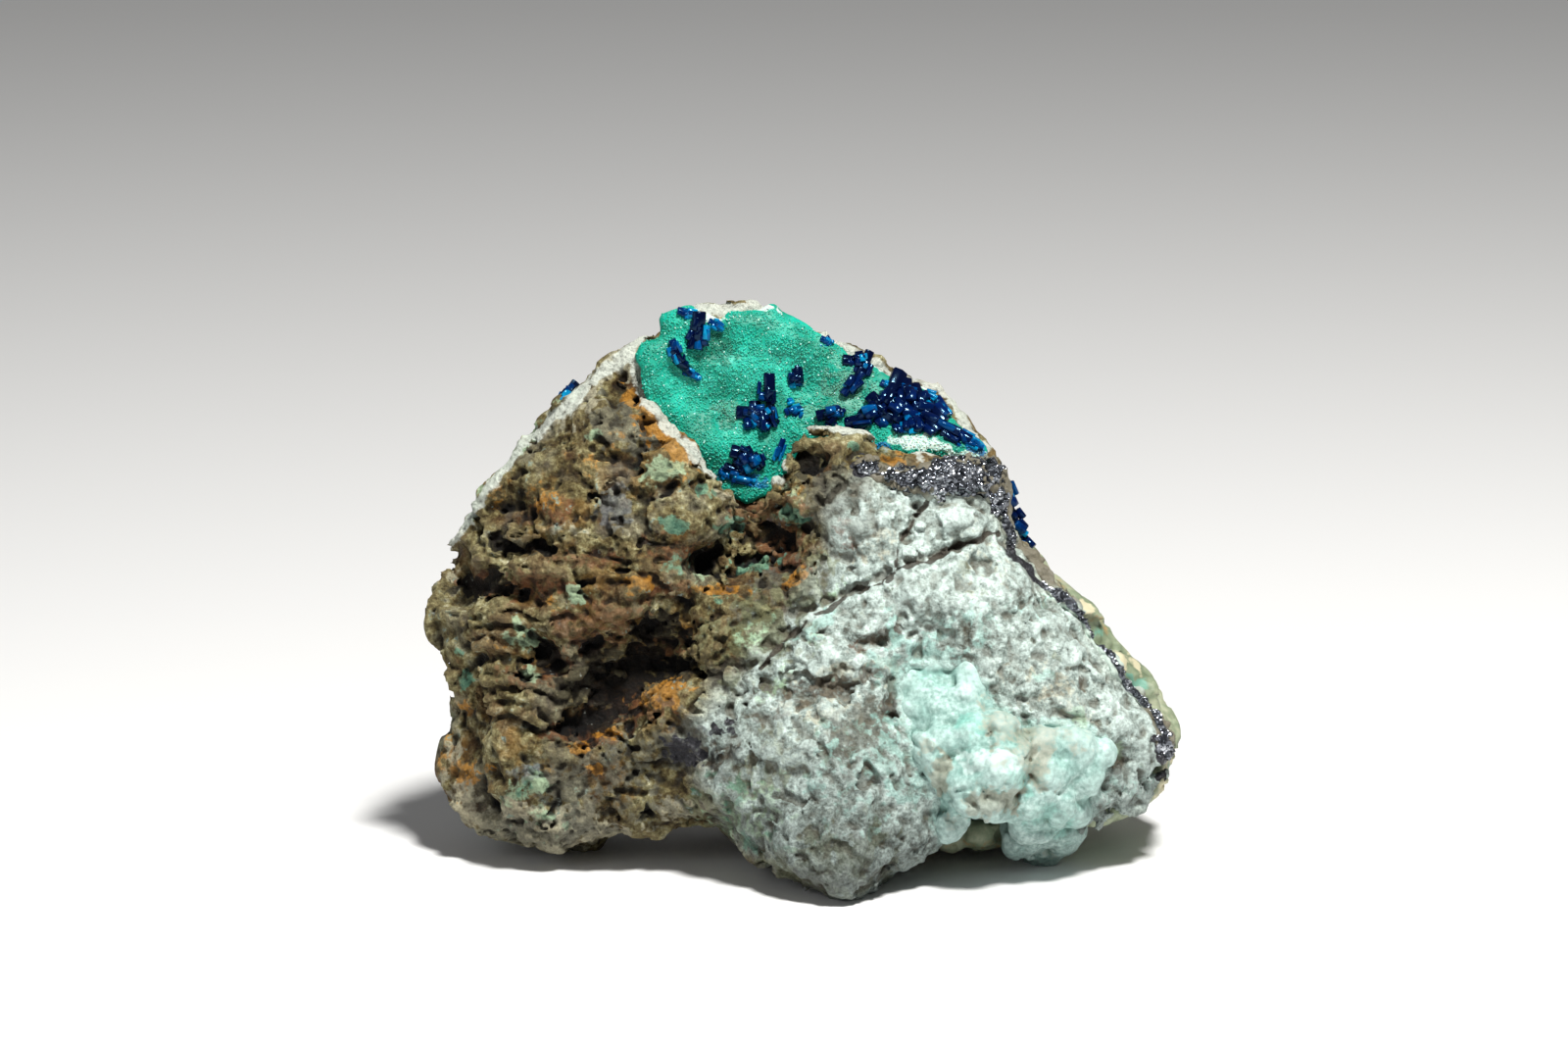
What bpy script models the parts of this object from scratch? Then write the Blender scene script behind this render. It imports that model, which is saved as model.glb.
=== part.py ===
"""A copper mineral specimen that stands on its own broken edge: iron-stained and pale rock with an
open pocket at the top, a green crystal crust in the pocket, clusters of dark blue crystals, a pale
knobbly crust low on the front, a thin crust over the back and a seam of grey metallic crystals.

Run with: blender --background --python part.py
"""

import math

import bmesh
import bpy
import numpy as np
from mathutils import Matrix, Vector, noise
from mathutils.geometry import delaunay_2d_cdt

# ---------------------------------------------------------------- driving dimensions, millimetres
# The broad face leans back from upright. Shapes are drawn on that face: x across it, h up it from
# the front foot, and d behind it. on_face() turns (x, h, d) into a point of the standing specimen.
LEAN = math.radians(13)
FOOT_DEPTH = 3.0  # d of the front foot
MIDDLE = (-0.27, 12.07)  # x and y, from the front foot's own axes, of the middle of the footprint
GAP = 0.3  # clearance that one mineral keeps to the next
TOUCH = 0.12  # least clearance after the coarser rooms are cut
BACK_AT_BASE = 27.0  # d of the back face at the foot
BACK_TAPER = 0.17  # how much the back comes forward for each millimetre up the face
FRONT_ROLL = 3.5  # how round the front edge of the rock is
BACK_ROLL = 7.0  # how round the back edge of the rock and its crust is
WALL = 2.6  # thickness of the rock wall in front of the pocket
DRUSE_THICK = 1.2
CRUST_THICK = 1.5
CRUST_FRONT = 11.0  # d of the back crust's front rim
CRUST_MIDDLE = (22, 16)  # x and h about which the crust's reach is widened
SHARP = 0.01  # an edge that isn't rounded

# How many triangles each rough body is drawn with before its neighbours are cut out of it
ROCK_TRIANGLES = 2600
LUMP_TRIANGLES = 880
CRUST_TRIANGLES = 460

# Outline of the front rock with the V notch of the pocket, (x, h), clockwise from the upper left
FRONT_OUTLINE = [
    (-22.5, 40.6), (-20.8, 41.9), (-18.7, 42.9), (-15.3, 43.2), (-13.7, 42.5), (-11.8, 41.2),
    (-10.2, 39.8), (-8.7, 38.1), (-7.5, 36.4), (-6.3, 35.4), (-5.2, 34.9), (-4.0, 35.2),
    (-3.2, 36.2), (-2.3, 37.6), (-1.5, 38.4), (-1.5, 39.8), (-1.0, 40.9), (0.9, 41.0),
    (3.4, 40.6), (5.5, 40.0), (7.0, 39.2), (8.4, 38.2), (13.4, 38.2), (15.3, 38.2),
    (16.6, 36.4), (16.9, 33.8), (17.1, 32.2), (17.7, 30.6), (19.1, 29.1), (20.3, 27.6),
    (21.5, 26.2), (23.1, 24.0), (24.1, 23.2), (25.1, 21.4), (26.9, 19.0), (27.8, 17.5),
    (29.5, 16.2), (30.6, 14.4), (31.9, 12.8), (32.8, 11.3), (32.7, 9.7), (31.9, 8.3),
    (30.4, 7.7), (28.7, 6.3), (26.6, 5.6), (24.7, 5.1), (22.6, 6.0), (19.7, 6.6),
    (17.2, 8.0), (14.7, 8.2), (12.8, 7.4), (10.6, 4.9), (10.2, 3.8), (8.6, 3.6),
    (6.9, 2.4), (5.5, 1.0), (3.7, 0.0), (1.8, 0.6), (-0.8, 1.0), (-2.8, 2.1), (-4.9, 3.3),
    (-6.3, 4.8), (-7.4, 5.8), (-8.8, 6.4), (-14.1, 5.7), (-16.6, 6.0), (-17.7, 5.0),
    (-18.7, 4.1), (-21.2, 3.7), (-25.1, 3.9), (-27.8, 5.4), (-30.4, 7.4), (-32.2, 10.2),
    (-30.8, 12.5), (-30.2, 15.8), (-32.0, 22.5), (-32.4, 24.8), (-32.0, 27.9), (-30.8, 30.6),
    (-28.4, 33.5), (-26.3, 36.4), (-24.4, 38.6),
]  # fmt: skip

# The rock behind the pocket rises to the top, and on the right it stays inside the back crust
PLATE_OUTLINE = [
    (-22.5, 40.6), (-21.3, 42.6), (-20.1, 43.9), (-17.2, 45.5), (-15.3, 46.9), (-13.5, 48.1),
    (-12.8, 48.7), (-12.8, 49.7), (-11.4, 50.0), (-10.3, 50.8), (-8.5, 50.9), (-7.2, 50.4),
    (-4.9, 50.9), (-3.2, 50.9), (-1.8, 49.9), (0.5, 48.7), (3.3, 47.2), (5.6, 46.1),
    (6.8, 45.2), (7.0, 44.4), (10.4, 43.9), (11.9, 43.3), (13.0, 42.4), (13.3, 40.4),
    (15.1, 38.8), (16.2, 37.1), (15.8, 35.0), (15.6, 32.5), (16.0, 30.6), (18.0, 28.2),
    (20.0, 26.0), (22.4, 23.4), (23.8, 20.8), (26.2, 18.4), (28.2, 16.6), (29.2, 14.2),
    (29.8, 11.6), (28.8, 9.9), (26.6, 8.4), (23.0, 7.4), (19.7, 6.6), (16.5, 6.0),
    (13.0, 5.8), (10.4, 5.2), (8.6, 3.6), (6.9, 2.4), (5.5, 1.0), (3.7, 0.4),
    (1.8, 0.6), (-0.8, 1.0), (-2.8, 2.1), (-4.9, 3.3), (-6.3, 4.8), (-7.4, 5.8),
    (-8.8, 6.4), (-14.1, 5.7), (-16.6, 6.0), (-17.7, 5.0), (-18.7, 4.1), (-21.2, 3.7),
    (-25.1, 3.9), (-27.8, 5.4), (-30.4, 7.4), (-32.2, 10.2), (-30.8, 12.5), (-30.2, 15.8),
    (-32.0, 22.5), (-32.4, 24.8), (-32.0, 27.9), (-30.8, 30.6), (-28.4, 33.5), (-26.3, 36.4),
    (-24.4, 38.6),
]  # fmt: skip

# Depth of the front surface at places on it, (x, h, d)
FRONT_RELIEF = [
    (-18.7, 41.2, 7.5), (-15.3, 42.5, 8.0), (-22.0, 37.1, 8.5), (-25.3, 32.9, 9.0),
    (-29.5, 29.6, 10.5), (-31.6, 24.6, 12.0), (-31.2, 17.9, 12.0), (-30.8, 10.4, 12.5),
    (-27.0, 26.2, 7.5), (-22.0, 29.6, 6.0), (-17.0, 32.9, 5.5), (-12.0, 36.2, 5.5),
    (-8.7, 34.6, 5.5), (-15.3, 27.1, 4.5), (-10.3, 25.4, 4.0), (-18.7, 19.6, 7.0),
    (-24.5, 17.9, 7.0), (-22.0, 12.9, 6.5), (-17.0, 14.6, 6.0), (-27.0, 9.6, 9.0),
    (-22.0, 7.1, 8.5), (-17.0, 8.8, 7.5), (-12.0, 7.9, 7.0), (-11.2, 17.9, 5.0),
    (-5.3, 30.4, 6.0), (-5.3, 34.6, 5.5), (3.0, 39.6, 5.5), (11.3, 37.1, 6.5),
    (15.5, 36.2, 7.5), (6.3, 31.2, 3.5), (13.0, 32.9, 4.0), (16.3, 29.6, 6.5),
    (3.0, 26.2, 4.0), (-2.0, 22.9, 4.5), (-5.3, 17.9, 4.0), (-8.7, 12.9, 4.0),
    (-7.0, 7.9, 4.0), (2.2, 22.1, 2.5), (3.8, 16.2, 1.0), (4.7, 11.2, 0.0),
    (1.3, 5.4, -0.5), (3.7, 1.2, -1.0), (-3.7, 4.6, 2.0), (8.8, 26.2, 2.5),
    (14.7, 24.6, 3.0), (19.7, 22.9, 5.0), (23.8, 19.6, 6.5), (27.2, 14.6, 7.0),
    (30.5, 10.4, 9.0), (9.7, 19.6, 4.5), (11.3, 14.6, 5.0), (14.7, 10.4, 6.0),
    (18.8, 14.6, 4.0), (21.3, 17.9, 3.8), (23.0, 10.4, 5.5), (25.5, 7.9, 6.0),
    (29.7, 8.8, 8.5), (8.8, 7.9, 2.0), (9.7, 5.4, 3.0),
]  # fmt: skip

# Depth of the wall behind the pocket, which the druse grows on
PLATE_RELIEF = [
    (-14.5, 44.6, 10.0), (-13.7, 41.2, 10.5), (-11.2, 48.8, 11.5), (-7.0, 49.6, 12.5),
    (-2.8, 49.6, 13.0), (2.2, 47.1, 13.0), (6.3, 44.6, 13.5), (-10.3, 42.9, 12.0),
    (-5.3, 42.9, 13.0), (-8.7, 37.1, 11.5), (-5.3, 35.4, 12.0), (-0.3, 42.9, 13.5),
    (2.2, 41.2, 12.5), (11.3, 38.3, 9.8), (9.7, 43.8, 14.5), (13.0, 40.4, 13.0),
    (15.5, 37.9, 11.0), (-21.0, 42.0, 11.0),
]  # fmt: skip

# The pocket is open above the notch and runs a few millimetres down behind the front wall
POCKET_OUTLINE = [
    (-15.3, 42.9), (-11.2, 38.8), (-9.1, 35.8), (-7.0, 33.3), (-4.9, 32.2), (-2.4, 33.3),
    (-0.3, 35.0), (2.2, 36.4), (14.7, 36.4), (16.3, 37.9), (16.3, 46.0), (6.3, 52.0),
    (-5.3, 54.0), (-15.3, 52.0), (-18.7, 46.2),
]  # fmt: skip

DRUSE_OUTLINE = [
    (-14.0, 42.8), (-14.5, 43.8), (-14.1, 45.0), (-14.8, 46.3), (-14.4, 47.0), (-12.7, 47.5),
    (-12.4, 48.3), (-12.6, 49.5), (-10.2, 50.4), (-8.6, 49.6), (-7.3, 48.9), (-6.6, 49.9),
    (-4.1, 49.8), (-3.1, 50.5), (-1.8, 49.6), (0.5, 48.4), (3.4, 46.8), (5.6, 45.6),
    (6.6, 44.3), (9.2, 43.5), (11.3, 42.6), (12.3, 41.2), (13.0, 39.9), (14.9, 38.6),
    (15.3, 37.8), (14.0, 37.2),
    (8.0, 37.2), (4.7, 38.3), (1.3, 38.9), (-0.8, 38.4), (-1.6, 36.7), (-2.8, 34.6),
    (-5.2, 33.6), (-7.4, 34.6), (-9.3, 36.9), (-11.2, 39.0), (-12.8, 41.2),
]  # fmt: skip

# The crust over the back right: its rim shows past the rock, and it ends along a broken line
CRUST_RIM = [
    (15.0, 38.6), (16.3, 36.0), (16.5, 34.0), (16.7, 32.2), (17.2, 30.8), (18.4, 29.6),
    (19.4, 29.0), (20.1, 27.8), (21.3, 26.8), (21.9, 26.0), (23.1, 24.9), (24.0, 24.8),
    (24.4, 24.0), (25.2, 23.3), (26.0, 21.1), (26.9, 20.6), (27.7, 19.4), (29.2, 18.5),
    (29.8, 17.4), (30.5, 16.4), (30.9, 15.1), (31.5, 14.2), (31.7, 12.6), (31.4, 10.9),
    (30.6, 9.4), (28.6, 7.6), (26.0, 6.6), (22.0, 5.6), (17.0, 4.4), (15.5, 4.2),
    (14.2, 3.9), (13.0, 3.9), (10.9, 4.5), (6.0, 4.5), (0.0, 6.0), (0.0, 38.0),
]  # fmt: skip
CRUST_REACH = [
    (11.4, 37.0), (8.6, 34.0), (7.0, 31.4), (8.4, 28.6), (7.8, 25.6), (5.6, 23.4),
    (6.2, 19.6), (8.8, 17.2), (8.4, 13.6), (6.8, 10.6), (8.6, 7.2), (10.2, 5.2),
    (10.4, 2.0), (36.0, 2.0), (36.0, 34.2), (16.8, 34.2), (14.6, 36.6),
]  # fmt: skip

# Caves and clefts in the iron-stained rock: (x, h, half length, half width, tilt in degrees, depth)
CAVES = [
    (-4.9, 29.6, 4.6, 2.8, 8, 2.8), (-15.0, 19.4, 7.5, 2.6, 42, 3.2),
    (-12.0, 19.8, 2.6, 1.3, -10, 3.0), (-27.5, 26.2, 4.2, 1.2, -8, 2.6),
    (-24.0, 29.6, 3.0, 1.0, 0, 1.6), (-23.0, 20.5, 2.4, 2.0, 0, 2.2),
    (-20.0, 14.2, 4.5, 1.1, 6, 1.6), (-25.5, 32.6, 2.4, 1.0, -10, 1.6),
    (0.4, 36.9, 1.1, 0.9, 0, 2.2), (-8.9, 28.6, 1.6, 1.2, -30, 2.0),
]  # fmt: skip

# Where the underside reaches the floor: x, y from the front foot's axes, and reach
FEET = [(3.6, 1.0, 4.0), (-21.0, 17.5, 3.6), (-3.5, 22.5, 4.2), (4.0, 22.5, 3.6)]
UNDERSIDE_LIFT = 1.4  # how far the rest of the underside clears the floor

# Lumps of the pale crust: (x, h, d, radius)
LUMPS = [
    (15.8, 11.2, 2.6, 2.6), (16.2, 14.0, 2.9, 1.7), (13.8, 14.2, 3.1, 1.7), (14.2, 9.2, 2.6, 2.0),
    (15.5, 8.2, 3.0, 1.6), (17.6, 12.4, 3.4, 1.8), (11.1, 12.7, 3.2, 1.9), (11.9, 10.4, 3.4, 1.6),
    (11.9, 6.5, 5.0, 1.5), (12.2, 8.4, 4.8, 1.5), (18.7, 8.2, 5.2, 2.1), (21.2, 8.1, 5.6, 1.8),
    (20.0, 10.4, 4.6, 2.2), (19.4, 6.6, 7.6, 2.0), (18.6, 4.9, 11.0, 1.9), (20.1, 4.4, 13.4, 2.1),
    (21.9, 5.2, 11.2, 1.8), (22.6, 7.6, 7.4, 1.6), (22.6, 12.8, 4.6, 1.7), (23.2, 10.2, 5.6, 1.6),
    (24.6, 12.0, 5.8, 1.4), (13.6, 16.6, 4.6, 1.9), (11.2, 15.6, 4.6, 1.7), (9.2, 16.6, 5.0, 1.6),
    (8.7, 18.6, 5.4, 1.6), (11.0, 18.2, 5.4, 1.9), (13.4, 18.9, 5.2, 1.6), (9.6, 13.6, 4.6, 1.3),
    (20.0, 13.0, 4.6, 1.9),
]  # fmt: skip

# The seam of metallic blocks along the top right and down the right rim: (x, h, block width)
SEAM = [
    (4.6, 36.7, 1.4), (6.2, 36.0, 1.5), (7.9, 35.3, 1.5), (9.9, 35.4, 1.9), (12.1, 35.4, 2.3),
    (14.3, 35.6, 2.5), (15.9, 34.6, 2.2), (16.4, 32.9, 1.3), (17.0, 31.0, 1.1), (18.9, 28.8, 1.2),
    (20.9, 26.2, 1.3), (22.7, 24.1, 1.1), (24.6, 21.7, 1.0), (26.3, 19.1, 1.0), (27.9, 17.1, 1.0),
    (29.4, 15.4, 1.1), (30.2, 13.6, 1.5), (30.6, 11.9, 1.8),
]  # fmt: skip

# Blue crystals on the druse: each runs from (x, h) to (x, h) and is this wide
DRUSE_CLUSTERS = {
    "blue_crystals_upper_left": [
        (-9.3, 49.4, -9.4, 47.0, 1.9), (-9.7, 48.2, -9.9, 46.0, 1.4), (-10.2, 49.9, -8.7, 49.6, 1.1),
    ],
    "blue_crystals_curved": [
        (-11.8, 47.2, -10.9, 45.2, 1.2), (-11.3, 45.8, -9.9, 44.4, 1.3),
        (-10.4, 44.8, -8.5, 44.0, 1.2),
    ],
    "blue_crystals_single": [(-0.9, 44.7, -0.7, 42.9, 1.5)],
    "blue_crystals_centre": [
        (-3.3, 44.0, -3.1, 41.5, 1.6), (-5.7, 41.3, -3.0, 41.2, 2.1), (-4.6, 41.2, -4.5, 39.2, 1.7),
        (-3.0, 41.4, -2.4, 39.2, 1.4),
    ],
    "blue_crystals_lower": [
        (-5.8, 37.7, -3.8, 37.3, 2.0), (-5.1, 37.3, -4.3, 35.7, 2.0), (-6.5, 36.5, -4.6, 35.9, 1.2),
    ],
    "blue_crystals_notch": [(-1.4, 41.5, 0.0, 41.9, 1.2)],
    "blue_crystals_small": [(1.6, 47.5, 2.5, 47.1, 1.0)],
    "blue_crystals_diagonal": [
        (3.8, 45.8, 5.3, 45.6, 1.5), (4.9, 45.6, 4.0, 43.5, 1.3), (4.2, 44.1, 3.0, 41.9, 1.4),
        (1.7, 41.2, 3.7, 41.7, 1.7),
    ],
    "blue_crystals_shelf": [
        (4.4, 40.4, 6.8, 41.3, 2.0), (7.5, 43.7, 6.6, 40.9, 2.3), (6.9, 41.2, 8.6, 40.0, 2.2),
        (8.6, 43.1, 8.9, 40.8, 1.8), (9.0, 41.0, 9.3, 38.7, 1.6), (8.9, 41.4, 11.3, 41.0, 2.4),
        (10.6, 41.6, 12.4, 39.4, 2.2), (11.4, 40.0, 15.1, 38.2, 1.7),
    ],
}  # fmt: skip

# Blue crystals on the outer rims, which run from (x, h, d) to (x, h, d)
RIM_CLUSTERS = {
    "blue_crystals_right_rim": [
        ((16.9, 34.8, 12.2), (17.5, 32.7, 12.8), 1.5), ((17.3, 33.0, 13.2), (17.9, 31.0, 12.8), 1.5),
        ((17.8, 31.6, 12.6), (19.0, 30.0, 13.2), 1.5), ((18.6, 30.6, 13.4), (19.8, 29.2, 12.8), 1.4),
    ],
    "blue_crystals_left_rim": [
        ((-20.7, 43.6, 11.8), (-21.6, 41.9, 11.4), 1.3), ((-21.3, 42.7, 12.4), (-22.2, 41.0, 12.2), 1.2),
    ],
}  # fmt: skip


# ---------------------------------------------------------------- small helpers
def on_face(points):
    """Points (x, h, d) in millimetres on the leaning face, as metres where the specimen stands."""
    x, h, d = np.asarray(points, float).T
    back, rise = d - FOOT_DEPTH, h
    y = back * math.cos(LEAN) + rise * math.sin(LEAN)
    z = rise * math.cos(LEAN) - back * math.sin(LEAN)
    return np.stack([x - MIDDLE[0], y - MIDDLE[1], z], axis=1) * 0.001


def off_face(points):
    """The opposite of on_face: (x, h, d) in millimetres of points in metres."""
    x, y, z = (np.asarray(points, float) * 1000).T
    x, y = x + MIDDLE[0], y + MIDDLE[1]
    h = y * math.sin(LEAN) + z * math.cos(LEAN)
    d = y * math.cos(LEAN) - z * math.sin(LEAN) + FOOT_DEPTH
    return np.stack([x, h, d], axis=1)


def surface_through(places):
    """A taut surface d(x, h) through (x, h, d) places."""
    places = np.array(places)
    spots, depths = places[:, :2], places[:, 2]
    count = len(spots)
    system = np.zeros((count + 3, count + 3))
    system[:count, :count] = np.linalg.norm(spots[:, None] - spots[None], axis=2)
    system[:count, count:] = np.column_stack([np.ones(count), spots])
    system[count:, :count] = system[:count, count:].T
    weights = np.linalg.solve(system, np.append(depths, np.zeros(3)))

    def depth(x, h):
        where = np.column_stack([np.ravel(x), np.ravel(h)])
        reach = np.linalg.norm(where[:, None] - spots[None], axis=2)
        plane = np.column_stack([np.ones(len(where)), where])
        return reach @ weights[:count] + plane @ weights[count:]

    return depth


front_depth = surface_through(FRONT_RELIEF)
plate_depth = surface_through(PLATE_RELIEF)


def plate_front(x, h):
    """The plate's front: the druse's wall in the pocket, and buried in the rock below it."""
    return np.where(np.ravel(h) > 32, plate_depth(x, h), 11.5)


def back_depth(x, h):
    """Depth of the back face, which comes forward towards the top and the left."""
    return BACK_AT_BASE - BACK_TAPER * np.ravel(h) + 0.05 * np.minimum(np.ravel(x), 0)


def edge_distance(spots, outline):
    """Distance from each (x, h) spot to the outline."""
    starts = np.array(outline)
    runs = np.roll(starts, -1, axis=0) - starts
    to_spot = spots[:, None] - starts[None]
    along = np.clip((to_spot * runs).sum(2) / (runs**2).sum(1), 0, 1)
    return np.linalg.norm(to_spot - along[..., None] * runs, axis=2).min(1)


def rolled(distance, radius):
    """How far a surface has turned away at this distance from its rounded edge."""
    inside = np.clip(radius - distance, 0, radius)
    return radius - np.sqrt(radius**2 - inside**2)


def new_object(name, vertices, faces):
    mesh = bpy.data.meshes.new(name)
    mesh.from_pydata([tuple(v) for v in vertices], [], faces)
    obj = bpy.data.objects.new(name, mesh)
    bpy.context.scene.collection.objects.link(obj)
    return obj


def slab(name, outline, front, back, front_radius, back_radius, spacing):
    """A closed body inside an outline, between two depth functions, with rounded edges."""
    low, high = np.min(outline, axis=0), np.max(outline, axis=0)
    rows = np.arange(low[1], high[1], spacing * 0.87)
    lattice = [
        (x + (i % 2) * spacing / 2, h)
        for i, h in enumerate(rows)
        for x in np.arange(low[0], high[0], spacing)
    ]
    lattice = np.array(lattice)
    lattice = lattice[edge_distance(lattice, outline) > spacing * 0.45]
    spots = [Vector(p) for p in outline] + [Vector(p) for p in lattice]
    loop = [list(range(len(outline)))]
    flat, _, triangles, *_ = delaunay_2d_cdt(spots, [], loop, 1, 1e-6)
    flat = np.array([tuple(p) for p in flat])
    used = sorted({i for t in triangles for i in t})
    new_index = {old: new for new, old in enumerate(used)}
    flat = flat[used]
    triangles = [[new_index[i] for i in t] for t in triangles]
    inward = edge_distance(flat, outline)
    near = front(*flat.T) + rolled(inward, front_radius)
    far = np.maximum(back(*flat.T) - rolled(inward, back_radius), near + 0.4)
    count = len(flat)
    vertices = on_face(
        np.vstack([np.column_stack([flat, near]), np.column_stack([flat, far])])
    )
    edges = {}
    for a, b, c in triangles:
        for pair in ((a, b), (b, c), (c, a)):
            edges[pair] = True
    rim = [pair for pair in edges if pair[::-1] not in edges]
    faces = triangles + [[i + count for i in reversed(t)] for t in triangles]
    faces += [[b, a, a + count, b + count] for a, b in rim]
    obj = new_object(name, vertices, faces)
    face_outwards(obj)
    return obj


def face_outwards(obj):
    work = bmesh.new()
    work.from_mesh(obj.data)
    bmesh.ops.recalc_face_normals(work, faces=work.faces)
    if work.calc_volume(signed=True) < 0:
        bmesh.ops.reverse_faces(work, faces=work.faces)
    work.to_mesh(obj.data)
    work.free()


def settle(obj):
    """Applies the object's modifiers."""
    bpy.context.view_layer.update()
    graph = bpy.context.evaluated_depsgraph_get()
    made = bpy.data.meshes.new_from_object(obj.evaluated_get(graph))
    obj.modifiers.clear()
    obj.data = made


def joined(name, parts):
    """One object that holds the meshes of several, which are removed."""
    work = bmesh.new()
    for part in parts:
        work.from_mesh(part.data)
        bpy.data.objects.remove(part)
    mesh = bpy.data.meshes.new(name)
    work.to_mesh(mesh)
    work.free()
    obj = bpy.data.objects.new(name, mesh)
    bpy.context.scene.collection.objects.link(obj)
    return obj


def remesh(obj, voxel):
    modifier = obj.modifiers.new("Remesh", "REMESH")
    modifier.mode = "VOXEL"
    modifier.voxel_size = voxel * 0.001
    settle(obj)


def roughen(obj, size, strength, seed):
    """Moves the surface in and out by smooth noise of this size and strength, in millimetres."""
    texture = bpy.data.textures.new(f"clouds_{seed}", "CLOUDS")
    texture.noise_scale = size * 0.001
    texture.noise_depth = 2
    modifier = obj.modifiers.new("Displace", "DISPLACE")
    modifier.texture = texture
    modifier.texture_coords = "LOCAL"
    modifier.strength = strength * 0.001
    settle(obj)


def thin_to(obj, triangles):
    modifier = obj.modifiers.new("Decimate", "DECIMATE")
    sides = sum(len(f.vertices) - 2 for f in obj.data.polygons)
    modifier.ratio = min(1.0, triangles / sides)
    modifier.use_collapse_triangulate = True
    settle(obj)


def move_vertices(obj, change):
    """Gives change() all vertices as metres, and puts them where it says."""
    count = len(obj.data.vertices)
    spots = np.empty(count * 3)
    obj.data.vertices.foreach_get("co", spots)
    obj.data.vertices.foreach_set("co", change(spots.reshape(-1, 3)).ravel())
    obj.data.update()


def combine(obj, other, operation, folded=False):
    modifier = obj.modifiers.new(operation, "BOOLEAN")
    modifier.operation = operation
    modifier.object = other
    modifier.use_self = folded
    settle(obj)


def grown(obj, clearance=GAP):
    """A copy of a body that stands this far out from it all round."""
    copy = bpy.data.objects.new(obj.name + "_grown", obj.data.copy())
    bpy.context.scene.collection.objects.link(copy)
    modifier = copy.modifiers.new("Displace", "DISPLACE")
    modifier.mid_level = 0
    modifier.strength = clearance * 0.001
    settle(copy)
    return copy


def cut_away(obj, cutter):
    combine(obj, cutter, "DIFFERENCE", folded=True)
    bpy.data.objects.remove(cutter)
    keep_largest(obj)


def make_room(obj, *neighbours):
    """Cuts a body back from its neighbours, with a clearance."""
    for neighbour in neighbours:
        cut_away(obj, grown(neighbour))


def merged(obj, distance):
    """The mesh in triangles, with points nearer than this merged."""
    work = bmesh.new()
    work.from_mesh(obj.data)
    bmesh.ops.remove_doubles(work, verts=work.verts, dist=distance)
    bmesh.ops.triangulate(work, faces=work.faces)
    bmesh.ops.dissolve_degenerate(work, edges=work.edges, dist=distance / 2)
    return work


def keep_largest(obj):
    """Clears slivers, as far as the body stays closed, and keeps its largest piece."""
    for distance in (2e-5, 1e-5, 4e-6, 1e-6, 1e-7):
        work = merged(obj, distance)
        if all(edge.is_manifold for edge in work.edges):
            break
    unseen, pieces = set(work.verts), []
    while unseen:
        queue = [unseen.pop()]
        piece = set(queue)
        while queue:
            for edge in queue.pop().link_edges:
                for vertex in edge.verts:
                    if vertex in unseen:
                        unseen.remove(vertex)
                        piece.add(vertex)
                        queue.append(vertex)
        pieces.append(piece)
    pieces.sort(key=len)
    for piece in pieces[:-1]:
        bmesh.ops.delete(work, geom=list(piece), context="VERTS")
    work.to_mesh(obj.data)
    work.free()


def cut_at_floor(obj, height=0.0):
    bpy.ops.mesh.primitive_cube_add(size=0.2, location=(0, 0, height * 0.001 - 0.1))
    cut_away(obj, bpy.context.object)


def finish(obj, colour, roughness, metallic=0.0):
    material = bpy.data.materials.new(obj.name)
    material.use_nodes = True
    shader = material.node_tree.nodes["Principled BSDF"]
    shader.inputs["Base Color"].default_value = (*colour, 1)
    shader.inputs["Roughness"].default_value = roughness
    shader.inputs["Metallic"].default_value = metallic
    obj.data.materials.clear()
    obj.data.materials.append(material)
    obj.data.polygons.foreach_set("material_index", [0] * len(obj.data.polygons))


# ---------------------------------------------------------------- the rock
def dent(points, x, h, length, width, tilt, depth):
    """How deep a cave reaches at each (x, h, d) point of the front."""
    turn = math.radians(tilt)
    across, up = points[:, 0] - x, points[:, 1] - h
    along = across * math.cos(turn) + up * math.sin(turn)
    side = up * math.cos(turn) - across * math.sin(turn)
    reach = np.sqrt((along / length) ** 2 + (side / width) ** 2)
    return depth * np.clip(1.35 - reach, 0, 1) ** 0.7


def carve_caves(spots):
    """Pushes the front surface in at each cave."""
    points = off_face(spots)
    on_front = points[:, 2] < front_depth(points[:, 0], points[:, 1]) + 2.5
    for cave in CAVES:
        points[:, 2] += dent(points, *cave) * on_front
    return on_face(points)


def lift_underside(spots):
    """Lifts the underside clear of the floor, apart from the feet."""
    spots = spots * 1000
    x, y = spots[:, 0] + MIDDLE[0], spots[:, 1] + MIDDLE[1]
    ripples = [noise.noise(Vector((a, b, 0)) * 0.22) for a, b in zip(x, y)]
    floor = UNDERSIDE_LIFT + 1.6 * np.array(ripples)
    for foot_x, foot_y, reach in FEET:
        distance = (x - foot_x) ** 2 + (y - foot_y) ** 2
        floor -= 3.0 * np.exp(-distance / reach**2)
    spots[:, 2] = np.maximum(spots[:, 2], floor)
    return spots * 0.001


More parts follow.
